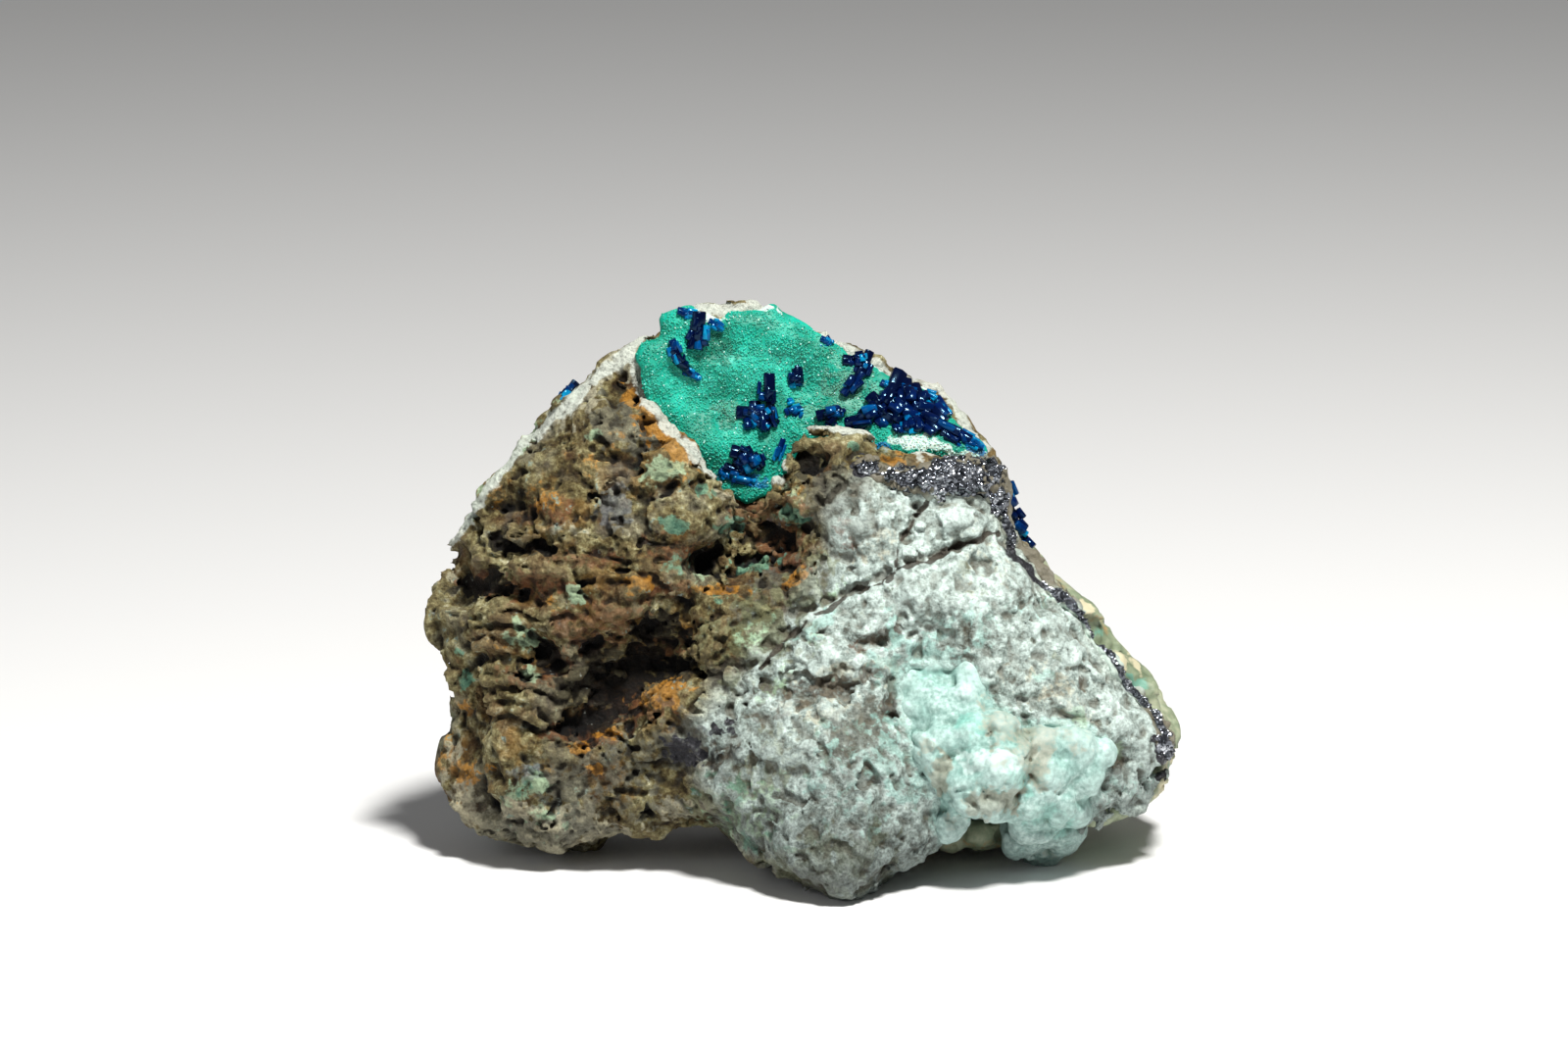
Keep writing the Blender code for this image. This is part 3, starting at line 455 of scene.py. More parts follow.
ROCK_MINERALS = {  # for each mineral its patches on the front; black is partly a dark mineral, partly painted shade in the caves
    "black": [
        (640, 696, 66, 24, 42, 1.3), (600, 690, 40, 24, 60, 1.0), (600, 735, 34, 16, 10, 1.0),
        (492, 597, 34, 12, 6, 1.1), (665, 640, 30, 16, 20, 1.1), (720, 572, 15, 14, 20, 1.1),
        (688, 678, 30, 12, -14, 1.2), (557, 672, 16, 14, 0, 1.1), (528, 557, 36, 8, -6, 0.9),
        (829, 473, 16, 13, 0, 1.5), (790, 545, 12, 9, 0, 0.7), (505, 548, 12, 6, 30, 0.8),
        (440, 620, 12, 10, 0, 0.4), (600, 655, 18, 9, 20, 0.7), (735, 770, 34, 18, 10, 0.6),
    ],
    "ochre": [
        (680, 440, 54, 24, -52, 1.2), (652, 406, 24, 13, -20, 1.1), (610, 747, 16, 9, 0, 0.9),
        (590, 765, 14, 7, 0, 0.8), (610, 788, 9, 9, 0, 0.9), (680, 705, 26, 14, 20, 0.9),
        (915, 470, 15, 9, -20, 1.0), (812, 498, 15, 6, 10, 0.7), (652, 593, 17, 13, 0, 1.0),
        (815, 590, 22, 8, 30, 0.8), (735, 603, 26, 6, 0, 0.9), (505, 660, 14, 8, 0, 0.5),
        (470, 795, 20, 22, 30, 0.7), (560, 612, 10, 8, 0, 0.7), (510, 500, 26, 14, 60, 0.55),
        (470, 725, 12, 14, 0, 0.7), (700, 640, 14, 8, 0, 0.5), (640, 690, 40, 20, 30, 0.45),
        (918, 462, 14, 7, -20, 0.7), (600, 470, 40, 20, 30, 0.4), (560, 500, 30, 16, 40, 0.5),
        (500, 785, 16, 7, 0, 0.7),
    ],
    "rust": [
        (690, 560, 30, 20, 0, 0.8), (520, 600, 60, 14, 0, 0.8), (600, 640, 60, 30, 20, 0.7),
        (540, 690, 40, 16, 0, 0.8), (640, 720, 60, 26, 10, 0.8), (780, 520, 40, 20, 0, 0.8),
        (560, 520, 30, 14, 0, 0.6), (690, 600, 26, 10, 0, 0.7), (800, 560, 30, 30, 0, 0.8),
        (600, 570, 50, 10, 0, 0.6), (590, 750, 46, 12, 0, 0.9), (660, 660, 40, 14, 0, 0.7),
        (880, 655, 26, 9, 30, 0.5), (760, 500, 24, 8, 0, 0.7), (860, 548, 12, 24, 10, 0.5),
    ],
    "grey": [
        (630, 433, 36, 24, -20, 1.0), (660, 440, 22, 22, 0, 0.8), (700, 760, 40, 34, 0, 0.9),
        (560, 800, 60, 24, -10, 0.9), (640, 780, 60, 30, 0, 0.7), (850, 500, 40, 24, 20, 1.0),
        (800, 600, 40, 30, 40, 0.8), (545, 850, 70, 22, 0, 0.8), (760, 630, 20, 20, 0, 0.6),
        (640, 830, 70, 26, 0, 0.6), (835, 520, 20, 30, 0, 0.7), (540, 545, 50, 14, 0, 0.5),
        (880, 535, 34, 14, 40, 0.7), (740, 780, 26, 30, 0, 0.8), (876, 755, 34, 46, 0, 1.0),
        (830, 893, 60, 20, 0, 0.9),
    ],
    "beige": [
        (600, 395, 60, 18, 40, 1.0), (632, 372, 34, 16, 40, 1.0), (505, 845, 60, 24, 0, 1.3),
        (470, 820, 30, 24, 0, 1.1), (560, 870, 60, 20, 0, 1.3), (872, 740, 44, 50, 0, 0.4),
        (850, 430, 40, 8, -4, 0.6), (590, 850, 60, 24, 0, 1.1), (455, 770, 14, 40, 0, 0.7),
        (700, 826, 40, 14, 0, 0.8), (460, 590, 16, 30, 0, 0.6), (650, 372, 24, 10, 40, 1.0),
        (700, 466, 20, 8, -40, 0.8), (740, 505, 22, 7, -20, 0.8), (560, 640, 60, 10, 0, 0.4),
        (620, 540, 70, 12, 0, 0.4), (1000, 560, 40, 40, 0, 0.3), (1080, 700, 30, 50, 40, 0.5),
        (1010, 700, 30, 40, 0, 0.35), (830, 720, 40, 20, 0, 0.6), (900, 560, 34, 14, 35, 0.6),
        (860, 690, 60, 20, 0, 0.6),
    ],
    "mint": [
        (678, 480, 22, 13, 15, 1.0), (606, 442, 9, 7, 0, 0.8), (588, 605, 10, 14, 0, 1.0),
        (530, 645, 17, 15, -20, 1.0), (540, 690, 11, 12, 0, 0.9), (473, 530, 14, 12, 40, 1.0),
        (500, 490, 70, 7, 52, 0.9), (580, 400, 20, 8, 40, 0.8), (860, 600, 14, 6, 30, 0.5),
        (536, 806, 26, 14, 30, 0.8), (545, 830, 30, 10, -20, 0.5), (770, 830, 46, 34, 30, 0.55),
        (770, 650, 26, 20, 40, 0.5), (715, 580, 10, 9, 0, 0.6), (1100, 735, 8, 14, 0, 0.9),
        (1135, 765, 12, 7, 0, 0.9), (805, 500, 10, 8, 0, 0.5), (800, 690, 46, 14, 50, 0.5),
    ],
    "green": [
        (690, 533, 13, 9, -20, 1.0), (471, 690, 10, 12, 0, 1.0), (768, 577, 26, 10, 10, 1.0),
        (716, 503, 11, 8, 0, 0.9), (746, 536, 17, 10, 0, 0.75), (811, 523, 14, 12, 0, 0.9),
        (732, 612, 9, 6, 0, 0.8), (530, 806, 13, 8, 30, 0.8), (765, 858, 8, 14, 30, 0.9),
        (745, 800, 26, 26, 30, 0.5), (690, 572, 18, 12, 0, 0.5), (474, 522, 8, 9, 0, 0.7),
        (466, 668, 7, 6, 0, 0.6), (790, 850, 9, 26, 40, 0.5), (870, 455, 5, 5, 0, 0.8),
    ],
    "quartz": [
        (622, 520, 20, 20, 0, 1.0), (630, 500, 12, 10, 0, 0.8), (535, 790, 26, 10, 10, 0.7),
        (700, 745, 20, 12, 0, 0.5), (755, 540, 12, 12, 0, 0.6), (785, 540, 12, 10, 0, 0.5),
        (640, 770, 20, 8, 0, 0.4), (740, 600, 16, 8, 0, 0.5),
    ],
    # Olive, like grey and iron, is laid thicker at the foot near column 845 and row 890; there it
    # is partly the rock's own colour and partly painted shade.
    "olive": [
        (785, 645, 60, 36, 45, 1.0), (820, 600, 40, 20, 45, 0.8), (740, 830, 50, 40, 0, 0.7),
        (700, 650, 50, 20, 30, 0.5), (900, 470, 30, 12, 0, 0.5), (845, 885, 70, 40, 20, 1.5),
        (1079, 670, 8, 5, 0, 0.8), (800, 760, 30, 30, 0, 0.5), (770, 800, 36, 30, 0, 0.6),
        (970, 640, 12, 9, 0, 0.4), (982, 578, 10, 8, 0, 0.7), (810, 865, 50, 26, 30, 0.6),
        (880, 900, 30, 14, 40, 0.6),
    ],
    "turquoise": [
        (950, 690, 50, 56, 0, 0.9), (915, 760, 26, 46, -20, 0.7), (940, 800, 40, 26, 0, 0.7),
        (865, 780, 50, 40, 20, 0.5), (1090, 820, 30, 20, 0, 0.6), (985, 640, 46, 24, 0, 0.5),
        (1110, 640, 26, 10, -50, 0.5), (880, 830, 50, 26, 0, 0.5), (830, 640, 30, 10, 35, 0.8),
        (1068, 690, 12, 12, 0, 0.7), (1050, 620, 30, 20, 0, 0.4), (1160, 800, 40, 20, 0, 0.4),
    ],
    "iron": [
        (895, 650, 28, 9, 15, 0.8), (908, 722, 8, 26, 5, 0.9), (935, 752, 22, 7, -10, 0.8),
        (815, 702, 60, 12, 4, 0.8), (850, 765, 16, 8, -40, 0.7), (835, 800, 10, 8, 0, 0.5),
        (1137, 780, 12, 7, 0, 0.8), (1103, 696, 6, 9, 0, 0.8), (800, 490, 7, 12, 30, 1.0),
        (957, 790, 20, 8, -30, 0.6), (550, 842, 18, 5, 50, 0.7), (890, 685, 20, 7, 0, 0.7),
        (780, 730, 34, 7, 10, 0.6), (870, 850, 26, 7, -30, 0.5),
        (845, 895, 60, 20, 15, 0.6),
    ],
}  # fmt: skip
# Cracks on the front: carved into the pale side, and painted grey-brown along their length as
# painted shade.
SHADED_CRACKS = [
    [(1020, 545), (987, 553), (963, 562), (947, 572), (915, 580), (903, 590), (880, 600)],
    [(880, 600), (850, 615), (825, 635), (800, 655), (775, 680)],
    [(952, 500), (937, 520), (925, 540), (917, 560), (913, 577)],
]
RIM_SEAM = [
    [(1022, 512), (1027, 528), (1033, 563), (1058, 590), (1088, 613), (1113, 637), (1133, 667)],
    [(1133, 667), (1147, 687), (1157, 705), (1178, 720), (1188, 742), (1195, 760), (1190, 795)],
]
WHITE_RIMS = [
    [(652, 400), (678, 425), (700, 452), (722, 478), (745, 492), (775, 495), (792, 490)],
    [(808, 430), (850, 428), (900, 439), (938, 458), (985, 462), (1008, 465)],
    [(812, 435), (850, 433), (900, 444), (938, 462)],
    [(806, 432), (800, 460), (792, 488)],
    [(455, 552), (470, 530), (500, 492), (530, 455), (560, 427), (590, 400), (640, 352)],
    [(570, 425), (600, 392), (625, 372), (645, 360), (652, 385), (656, 404)],
    [(640, 352), (668, 322), (700, 308), (735, 312), (775, 305), (812, 318), (856, 344)],
    [(856, 344), (906, 378), (940, 386), (975, 398), (985, 430), (1008, 460)],
]


def carved(points, rows, seed):
    """How deep the drawn clefts reach at each point, with ragged edges."""
    ragged = layered_noise(points, (1.5, 0.9, 1.5), seed, 2) - 0.65
    ragged += knobs(points, 0.8, seed + 1) * 0.3
    return ovals(points, rows, ragged * 2.6, 2.3, 0.5, 1.1)


def ridged(points, size, seed, layers=3):
    """Noise with sharp crests, from -1 to 1."""
    return 1 - np.abs(layered_noise(points, size, seed, layers) * 2 - 1) * 3


QUIET_CHALK = [(955, 690, 52, 56, 0, 1.0), (1000, 745, 30, 30, 0, 0.8)]
LAYERED = [(515, 635, 66, 90, 0, 1.0), (560, 690, 90, 60, 0, 0.8), (620, 580, 60, 40, -20, 0.5)]
CAVES = [(640, 690, 90, 50, 30, 1.0), (500, 590, 60, 50, 0, 0.8), (780, 550, 50, 40, 0, 0.7)]


def brown_relief(points):
    """The layered, cavernous brown side: shelves that overhang, grains and pits."""
    bent = bent_by(points, 2.4, 1.3, 40)
    across, up = bent[:, 0], bent[:, 1]
    layered = bent.copy()
    layered[:, 0] = across * math.cos(DIP) + up * math.sin(DIP)
    layered[:, 1] = up * math.cos(DIP) - across * math.sin(DIP)
    rise = layered[:, 1] / 1.3 + 1.8 * smooth_noise(points, (5.0, 3.0, 5.0), 19)
    shelved = patches(points, LAYERED, 20, 0.3)
    shelves = (0.5 - rise % 1.0) * shelved
    ledges = ridged(layered, (2.8, 1.3, 2.4), 5, 3)
    blocks = layered_noise(bent, 3.2, 6, 3) - 0.5
    crags = facets(bent, 2.3, 33) * 0.38 + facets(points, 1.05, 35) * 0.2
    grit = ridged(points, 1.0, 27, 3)
    grains = knobs(bent, 1.15, 7) * 0.25 + knobs(points, 0.62, 8) * 0.3
    pits = eased(layered_noise(bent, (1.6, 1.2, 1.6), 9, 3), 0.58, 0.72)
    caves = patches(points, CAVES, 30, 0.3)
    smooth = patches(points, SMOOTH_BROWN, 16)
    relief = 0.9 * shelves + 0.4 * ledges + 1.7 * blocks - 1.1 * pits * (0.4 + caves)
    rough = (0.22 * grit + grains + crags) * (1 - 0.35 * smooth)
    raised = patches(points, ROCK_MINERALS["mint"] + ROCK_MINERALS["green"], 28, 0.8)
    calm = 1 - 0.5 * smooth
    shape = relief * calm + rough - 0.42 + 0.2 * raised - carved(points, CLEFTS, 31)
    return np.clip(shape, 1.5 * rough - 2.1, 0.7)


def pale_relief(points):
    """The chalky pale side: knobs, wrinkles and crumbs, calmer where the crust is smooth."""
    bent = bent_by(points, 1.8, 1.4, 50)
    blocks = layered_noise(bent, 4.2, 10, 3) - 0.5
    across, up, back = bent.T
    turned = np.stack([across + up * 0.6, up - across * 0.6, back], axis=1)
    wrinkles = ridged(turned, (1.7, 3.0, 2.2), 11, 3)
    crumbs = knobs(bent, 1.35, 29) * 0.14 + knobs(points, 0.62, 12) * 0.2
    crumbs += facets(bent, 1.8, 37) * 0.22 + facets(points, 0.9, 45) * 0.1
    quiet = patches(points, QUIET_CHALK, 14)
    grit = ridged(points, 1.0, 17, 3)
    folds = 0.9 * (layered_noise(bent, 2.1, 49, 2) - 0.5) - 0.24 * ridged(bent, 2.8, 53, 3)
    creases = 0.2 * wrinkles + 0.1 * grit + folds
    relief = 1.9 * blocks + creases * (1 - 0.85 * quiet) + crumbs * (1 - 0.3 * quiet)
    cracks = line_patches(points, SHADED_CRACKS, 2.6, 91)
    return relief - 0.2 - 0.3 * cracks - carved(points, PALE_VALLEYS, 32)


def broken_relief(points):
    """The sides and back, where the rock simply broke: steps, blocks and grains."""
    bent = bent_by(points, 3.0, 1.8, 60)
    blocks = layered_noise(bent, 6.0, 21, 4) - 0.5
    steps = ridged(bent, (5.0, 2.2, 5.0), 23, 3)
    planes = facets(bent, 4.6, 39) * 0.6 + facets(bent, 1.9, 47) * 0.35
    grains = knobs(points, 1.0, 22) * 0.22 + facets(points, 0.95, 43) * 0.2
    pits = eased(layered_noise(bent, (2.8, 1.6, 2.8), 62, 3), 0.62, 0.74)
    return 2.2 * blocks + 0.3 * steps + planes + grains - 0.2 - 0.8 * pits


def closeness_to(node):
    """A measure of how near points are to a solid that grows on the rock: 0 at a reach, 1 at it."""
    grid = Grid(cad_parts[node], voxel=0.3)
    depth = grid.depth(grid.filled(), width=5)
    low, high = grid.low, grid.low + (np.array(grid.shape) - 2) * grid.voxel

    def closeness(points, reach):
        share = np.zeros(len(points))
        there = ((points > low) & (points < high)).all(axis=1)
        share[there] = eased(grid.sample(depth, points[there]), -reach, -0.2)
        return share

    return closeness


near_lumps = closeness_to("pale_lumps")
near_galena = closeness_to("galena_seam")
near_crust = closeness_to("back_crust")
FRONT_ENDS = (8.5, 11.5)  # depths between which the front gives way to the broken sides
WELD_REACH = 1.3  # millimetres round a crust in which the rock rises to meet it
HIGHEST = 0.8  # how far in millimetres the rock may stand out from its plain solid
TONGUE = [(868, 432, 76, 16, -8, 1.0)]  # the edge of the pocket's front wall, right of its notch
NOTCH_FILLING = [(662, 415, 17, 9, -52, 1.0)]


def weathered(points):
    """How far the rock's real surface stands out from its plain solid at each point."""
    pale = pale_share(points)
    front = 1 - eased(points[:, 2], *FRONT_ENDS)
    change = np.zeros(len(points))
    for relief, share in (
        (brown_relief, (1 - pale) * front),
        (pale_relief, pale * front),
        (broken_relief, 1 - front),
    ):
        there = share > 0.003
        change[there] += relief(points[there]) * share[there]
    crusts = (near_lumps, near_galena, near_crust)
    welded = np.maximum.reduce([near(points, WELD_REACH) for near in crusts])
    tongue = patches(points, TONGUE, 26, 0.2) * front
    rim = line_patches(points, WHITE_RIMS, 9, 94) * (1 - tongue)
    filled = patches(points, NOTCH_FILLING, 54, 0.1) * front
    change = change * (1 - 0.6 * welded) * (1 - 0.75 * tongue) * (1 - 0.5 * rim)
    return np.minimum(change, HIGHEST) + 0.75 * welded + 0.6 * tongue + 0.2 * rim + filled


CREVICE_WIDTH, HOLLOW_WIDTH = 0.34, 1.1  # millimetres over which a crevice or a hollow is felt
PAST_LIMIT = 1.2  # millimetres of relief that are worked out past a piece's limits
SOFTENED = 0.35  # how much of the relief's sharpest detail is worn away
AT_A_TIME = 40000  # points that are worked out together, which is faster than all at once


def in_parts(measure, points):
    """The measure of many points, worked out some at a time."""
    parts = np.array_split(points, len(points) // AT_A_TIME + 1)
    return np.concatenate([measure(part) for part in parts])


def grown_from(node, name, relief, voxel, blur, reach, triangles, swell=0.1, limits=()):
    """A finely modelled body in the place of a plain solid: its softened surface, moved out by
    relief, with how far each vertex lies in a crevice or a hollow marked on it. Limits, each an
    axis of the face and two places along it, keep only the part between them."""
    grid = Grid(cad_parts[node], voxel, limits)
    base = grid.depth(grid.filled(), blur)
    wanted = np.ones(grid.shape, bool)
    for axis, low, top in limits:
        along = grid.axes()[axis]
        kept = (along > low - PAST_LIMIT) & (along < top + PAST_LIMIT)
        wanted &= kept.reshape([-1 if i == axis else 1 for i in range(3)])
    chosen, points = grid.near(np.where(wanted, base, 99), reach)
    depth = np.clip(base, -reach, reach)
    depth[chosen] += (in_parts(relief, points) + swell) * eased(base[chosen], -reach, 0.45 * -reach)
    depth = (1 - SOFTENED) * depth + SOFTENED * blurred(depth, 3)
    solid = (depth > 0).astype(np.float32)
    for axis, low, top in limits:
        along = grid.axes()[axis]
        room = np.minimum(along - low, top - along).astype(np.float32)
        depth = np.minimum(depth, room.reshape([-1 if i == axis else 1 for i in range(3)]))
    points, faces = grid.skin(depth)
    piece = new_piece(name, on_face(points), faces)
    without_crumbs(piece)
    thinned(piece, triangles)
    keep_above_floor(piece)
    piece.data.polygons.foreach_set("use_smooth", [True] * len(piece.data.polygons))
    spots = spots_of(piece)
    for name, width in (("crevice", CREVICE_WIDTH), ("hollow", HOLLOW_WIDTH)):
        mark(piece, name, grid.sample(blurred(solid, round(width / voxel) * 2 + 1), spots))
    return piece


ROCK_SPLIT = 11.5  # depth at which the fine front of the rock ends
SIDE_SPLIT = -3.0  # where its left and right halves meet
OVERLAP = 0.3
FRONT = (2, -9, ROCK_SPLIT + OVERLAP)
rock_pieces = [
    grown_from("matrix_rock", name, weathered, voxel, blur, 2.2, triangles, limits=limits)
    for name, voxel, blur, triangles, limits in (
        ("rock_left", 0.18, 7, 195000, [FRONT, (0, -99, SIDE_SPLIT + OVERLAP)]),
        ("rock_right", 0.18, 7, 195000, [FRONT, (0, SIDE_SPLIT - OVERLAP, 99)]),
        ("rock_back", 0.26, 5, 140000, [(2, ROCK_SPLIT - OVERLAP, 99)]),
    )
]

GALENA_SPOTS = [
    (978, 488, 52, 20, 2, 1.1), (925, 487, 26, 11, -8, 1.0), (883, 477, 15, 10, 0, 0.9),
    (1020, 514, 11, 15, 0, 1.1), (700, 765, 26, 16, -20, 0.7), (735, 745, 26, 12, 20, 0.6),
    (1192, 770, 14, 26, 0, 0.7),
]  # fmt: skip


def metal_share(points):
    """1 where the grey metallic mineral shows, 0 elsewhere."""
    vein = line_patches(points, RIM_SEAM, 6.0, 93) * (0.3 + 1.4 * layered_noise(points, 1.7, 95, 2))
    return np.maximum(vein, patches(points, GALENA_SPOTS, 92))


BEHIND = {  # on the sides and back each mineral shows where a noise is above this
    "beige": 0.5, "grey": 0.53, "olive": 0.55, "rust": 0.56, "iron": 0.58, "ochre": 0.6,
    "mint": 0.62,
}  # fmt: skip
FACING_ENDS = (12.5, 15.5)  # depths between which the front's minerals give way to those behind
WHITE_ENDS = (15.0, 17.0)  # depths between which the white rims fade
FOOT_SHADE_ENDS = (1.0, 17.0)  # heights between which the painted shade at the foot gives way
PAINT_REACH = 1.9
for piece in rock_pieces:
    spots = spots_of(piece)
    facing = 1 - eased(spots[:, 2], *FACING_ENDS)
    mark(piece, "pale", pale_share(spots, -1.8, 1.6) * facing)
    mark(piece, "foot", 1 - eased(spots[:, 1], *FOOT_SHADE_ENDS))
    for seed, (mineral, rows) in enumerate(ROCK_MINERALS.items(), 100):
        share = patches(spots, rows, seed) * facing
        if mineral in BEHIND:
            level = BEHIND[mineral]
            scattered = eased(layered_noise(spots, 5.0, seed + 40, 4), level, level + 0.12)
            share += scattered * 0.9 * (1 - facing)
        if mineral == "turquoise":
            share = np.maximum(share, near_lumps(spots, PAINT_REACH))
        if mineral == "beige":
            share = np.maximum(share, near_crust(spots, PAINT_REACH) * (1 - facing))
        mark(piece, mineral, share)
    mark(piece, "seam", metal_share(spots) * facing)
    mark(piece, "crack", line_patches(spots, SHADED_CRACKS, 3.0, 91) * facing)
    rim = line_patches(spots, WHITE_RIMS, 8, 94)
    mark(piece, "white", rim * (1 - eased(spots[:, 2], *WHITE_ENDS)))


COLOUR_UNDER, COLOUR_OVER, COLOUR_OUT = 6, 7, 2  # the colour sockets of a Mix node


class Wire:
    """A socket of a material, which Python's own operators work on."""

    def __init__(self, tree, socket):
        self.tree, self.socket = tree, socket

    def node(self, kind, settings, feeds, output=0):
        """Adds a node: its settings first, then the values or wires of its sockets."""
        node = self.tree.nodes.new(kind)
        for name, value in settings.items():
            if name == "stops":
                ramp = node.color_ramp
                while len(ramp.elements) < len(value):
                    ramp.elements.new(0.5)
                for element, (place, colour) in zip(ramp.elements, value):
                    element.position, element.color = place, colour
            else:
                setattr(node, name, value)
        for name, value in feeds.items():
            if isinstance(value, Wire):
                self.tree.links.new(value.socket, node.inputs[name])
            else:
                node.inputs[name].default_value = value
        return Wire(self.tree, node.outputs[output])

    def maths(self, operation, *values):
        return self.node("ShaderNodeMath", {"operation": operation}, dict(enumerate(values)))

    def __add__(self, other):
        return self.maths("ADD", self, other)

    __radd__ = __add__

    def __sub__(self, other):
        return self.maths("SUBTRACT", self, other)

    def __rsub__(self, other):
        return self.maths("SUBTRACT", other, self)

    def __mul__(self, other):
        return self.maths("MULTIPLY", self, other)

    __rmul__ = __mul__

    def __pow__(self, other):
        return self.maths("POWER", self, other)

    def between(self, low, high):
        """0 below low and 1 above high, smooth between."""
        settings = {"interpolation_type": "SMOOTHSTEP"}
        feeds = {"Value": self, "From Min": low, "From Max": high}
        return self.node("ShaderNodeMapRange", settings, feeds)

    def noise(self, scale, detail=3.0, roughness=0.55):
        feeds = {"Vector": self, "Scale": scale, "Detail": detail, "Roughness": roughness}
        return self.node("ShaderNodeTexNoise", {}, feeds)

    def cells(self, scale):
        return self.node("ShaderNodeTexVoronoi", {}, {"Vector": self, "Scale": scale}, "Distance")

    def mark(self, name):
        """A number that each vertex of the piece keeps."""
        return self.node("ShaderNodeAttribute", {"attribute_name": name}, {}, "Fac")

    def shaded(self, *stops):
        """The paint for this number, blended between stops: each a number and a paint."""
        return self.node("ShaderNodeValToRGB", {"stops": stops}, {"Fac": self})

    def bumps(self, strength, distance, height):
        feeds = {"Strength": strength, "Distance": distance, "Height": height}
        return self.node("ShaderNodeBump", {}, feeds, "Normal")

    def under(self, colour, share):
        """This colour, covered by another one as far as share says."""
        settings = {"data_type": "RGBA", "clamp_factor": True}
        feeds = {"Factor": share, COLOUR_UNDER: self, COLOUR_OVER: colour}
        return self.node("ShaderNodeMix", settings, feeds, COLOUR_OUT)

    def times(self, brightness):
        """This colour, made lighter or darker."""
        settings = {"data_type": "RGBA", "blend_type": "MULTIPLY"}
        feeds = {"Factor": 1.0, COLOUR_UNDER: self, COLOUR_OVER: brightness}
        return self.node("ShaderNodeMix", settings, feeds, COLOUR_OUT)


def paint(red, green, blue):
    """A colour given in steps from 0 to 255, as light."""
    return tuple((v / 255) ** 2.2 for v in (red, green, blue)) + (1,)


def new_finish(name, slot, node, pieces, **fixed):
    """A material for the pieces that replace a node, with constants set on its shader. Gives the
    shader, and the place that its patterns follow."""
    material = bpy.data.materials.new(name)
    material.use_nodes = True
    tree = material.node_tree
    shader = tree.nodes["Principled BSDF"]
    for socket, value in fixed.items():
        shader.inputs[socket.replace("_", " ")].default_value = value
    for piece in pieces:
        piece.data.materials.clear()
        piece.data.materials.append(material)
        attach(piece, "root")
        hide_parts(node)
    return shader, Wire(tree, tree.nodes.new("ShaderNodeTexCoord").outputs["Object"])


def feed_shader(shader, feeds):
    for name, wire in feeds.items():
        wire.tree.links.new(wire.socket, shader.inputs[name])


def covered(colour, place, ragged, rows):
    """A colour with marked patches on it: each a mark, its paint, where it starts and is full, and
    how far it covers."""
    for name, shade, start, full, cover in rows:
        colour = colour.under(shade, (place.mark(name) + ragged).between(start, full) * cover)
    return colour


MINERAL_PAINTS = {
    "beige": (paint(170, 166, 144), 0.75), "grey": (paint(94, 94, 84), 0.8),
    "olive": (paint(102, 106, 76), 0.7), "rust": (paint(102, 58, 34), 0.75),
    "ochre": (paint(166, 114, 38), 0.85), "iron": (paint(70, 60, 50), 0.85),
    "turquoise": (paint(150, 196, 186), 0.65), "mint": (paint(158, 190, 156), 0.7),
    "quartz": (paint(98, 106, 114), 0.6), "green": (paint(84, 146, 124), 0.7),
    # Black: a dark mineral, and painted shade in the caves.
    "black": (paint(18, 15, 12), 0.95),
}  # fmt: skip
shader, place = new_finish(
    "rock finish", "rock", "matrix_rock", rock_pieces, Specular_IOR_Level=0.25
)
crevice, hollow, pale = place.mark("crevice"), place.mark("hollow"), place.mark("pale")
coarse, fine = place.noise(330.0, 4.0), place.noise(1500.0, 4.0)
grain = place.noise(4200.0, 3.0, 0.7)
brown = (coarse * 0.4 + fine * 0.4 + grain * 0.2).shaded(
    (0.3, paint(24, 18, 10)), (0.4, paint(66, 52, 28)), (0.48, paint(102, 90, 56)),
    (0.56, paint(134, 128, 92)), (0.68, paint(200, 198, 170)),
)  # fmt: skip
chalk = (coarse * 0.4 + fine * 0.35 + grain * 0.25).shaded(
    (0.36, paint(94, 94, 82)), (0.45, paint(144, 158, 151)), (0.56, paint(190, 206, 200))
)
for stain, size, start, full, cover in (
    (paint(96, 62, 40), 250.0, 0.5, 0.62, 0.5),
    (paint(112, 110, 98), 210.0, 0.52, 0.64, 0.55),
    (paint(126, 94, 44), 290.0, 0.56, 0.66, 0.6),
):
    brown = brown.under(stain, place.noise(size, 5.0).between(start, full) * cover)
colour = brown.under(chalk, pale)
ragged = (fine - 0.5) * 1.7 + (coarse - 0.5) * 0.6 + (place.noise(700.0, 3.0) - 0.5) * 1.1
rows = [(mineral, shade, 0.35, 0.8, cover) for mineral, (shade, cover) in MINERAL_PAINTS.items()]
colour = covered(colour, place, ragged * 1.2, rows)
colour = colour.times((fine * 1.8 + 0.12) * (coarse * (1.4 - pale * 0.8) + 0.27 + pale * 0.42))
# raised: the convex parts, away from the hollows, which are lightened below as painted highlight
raised = (1 - hollow + (fine - 0.5) * 0.3).between(0.5, 0.68)
# The crevices, with noise on their edges, which are darkened below as painted shade
painted_crevice_shade = crevice + (fine - 0.5) * 0.25
height = place.noise(2400.0, 5.0, 0.7) + place.cells(2200.0) * 0.35
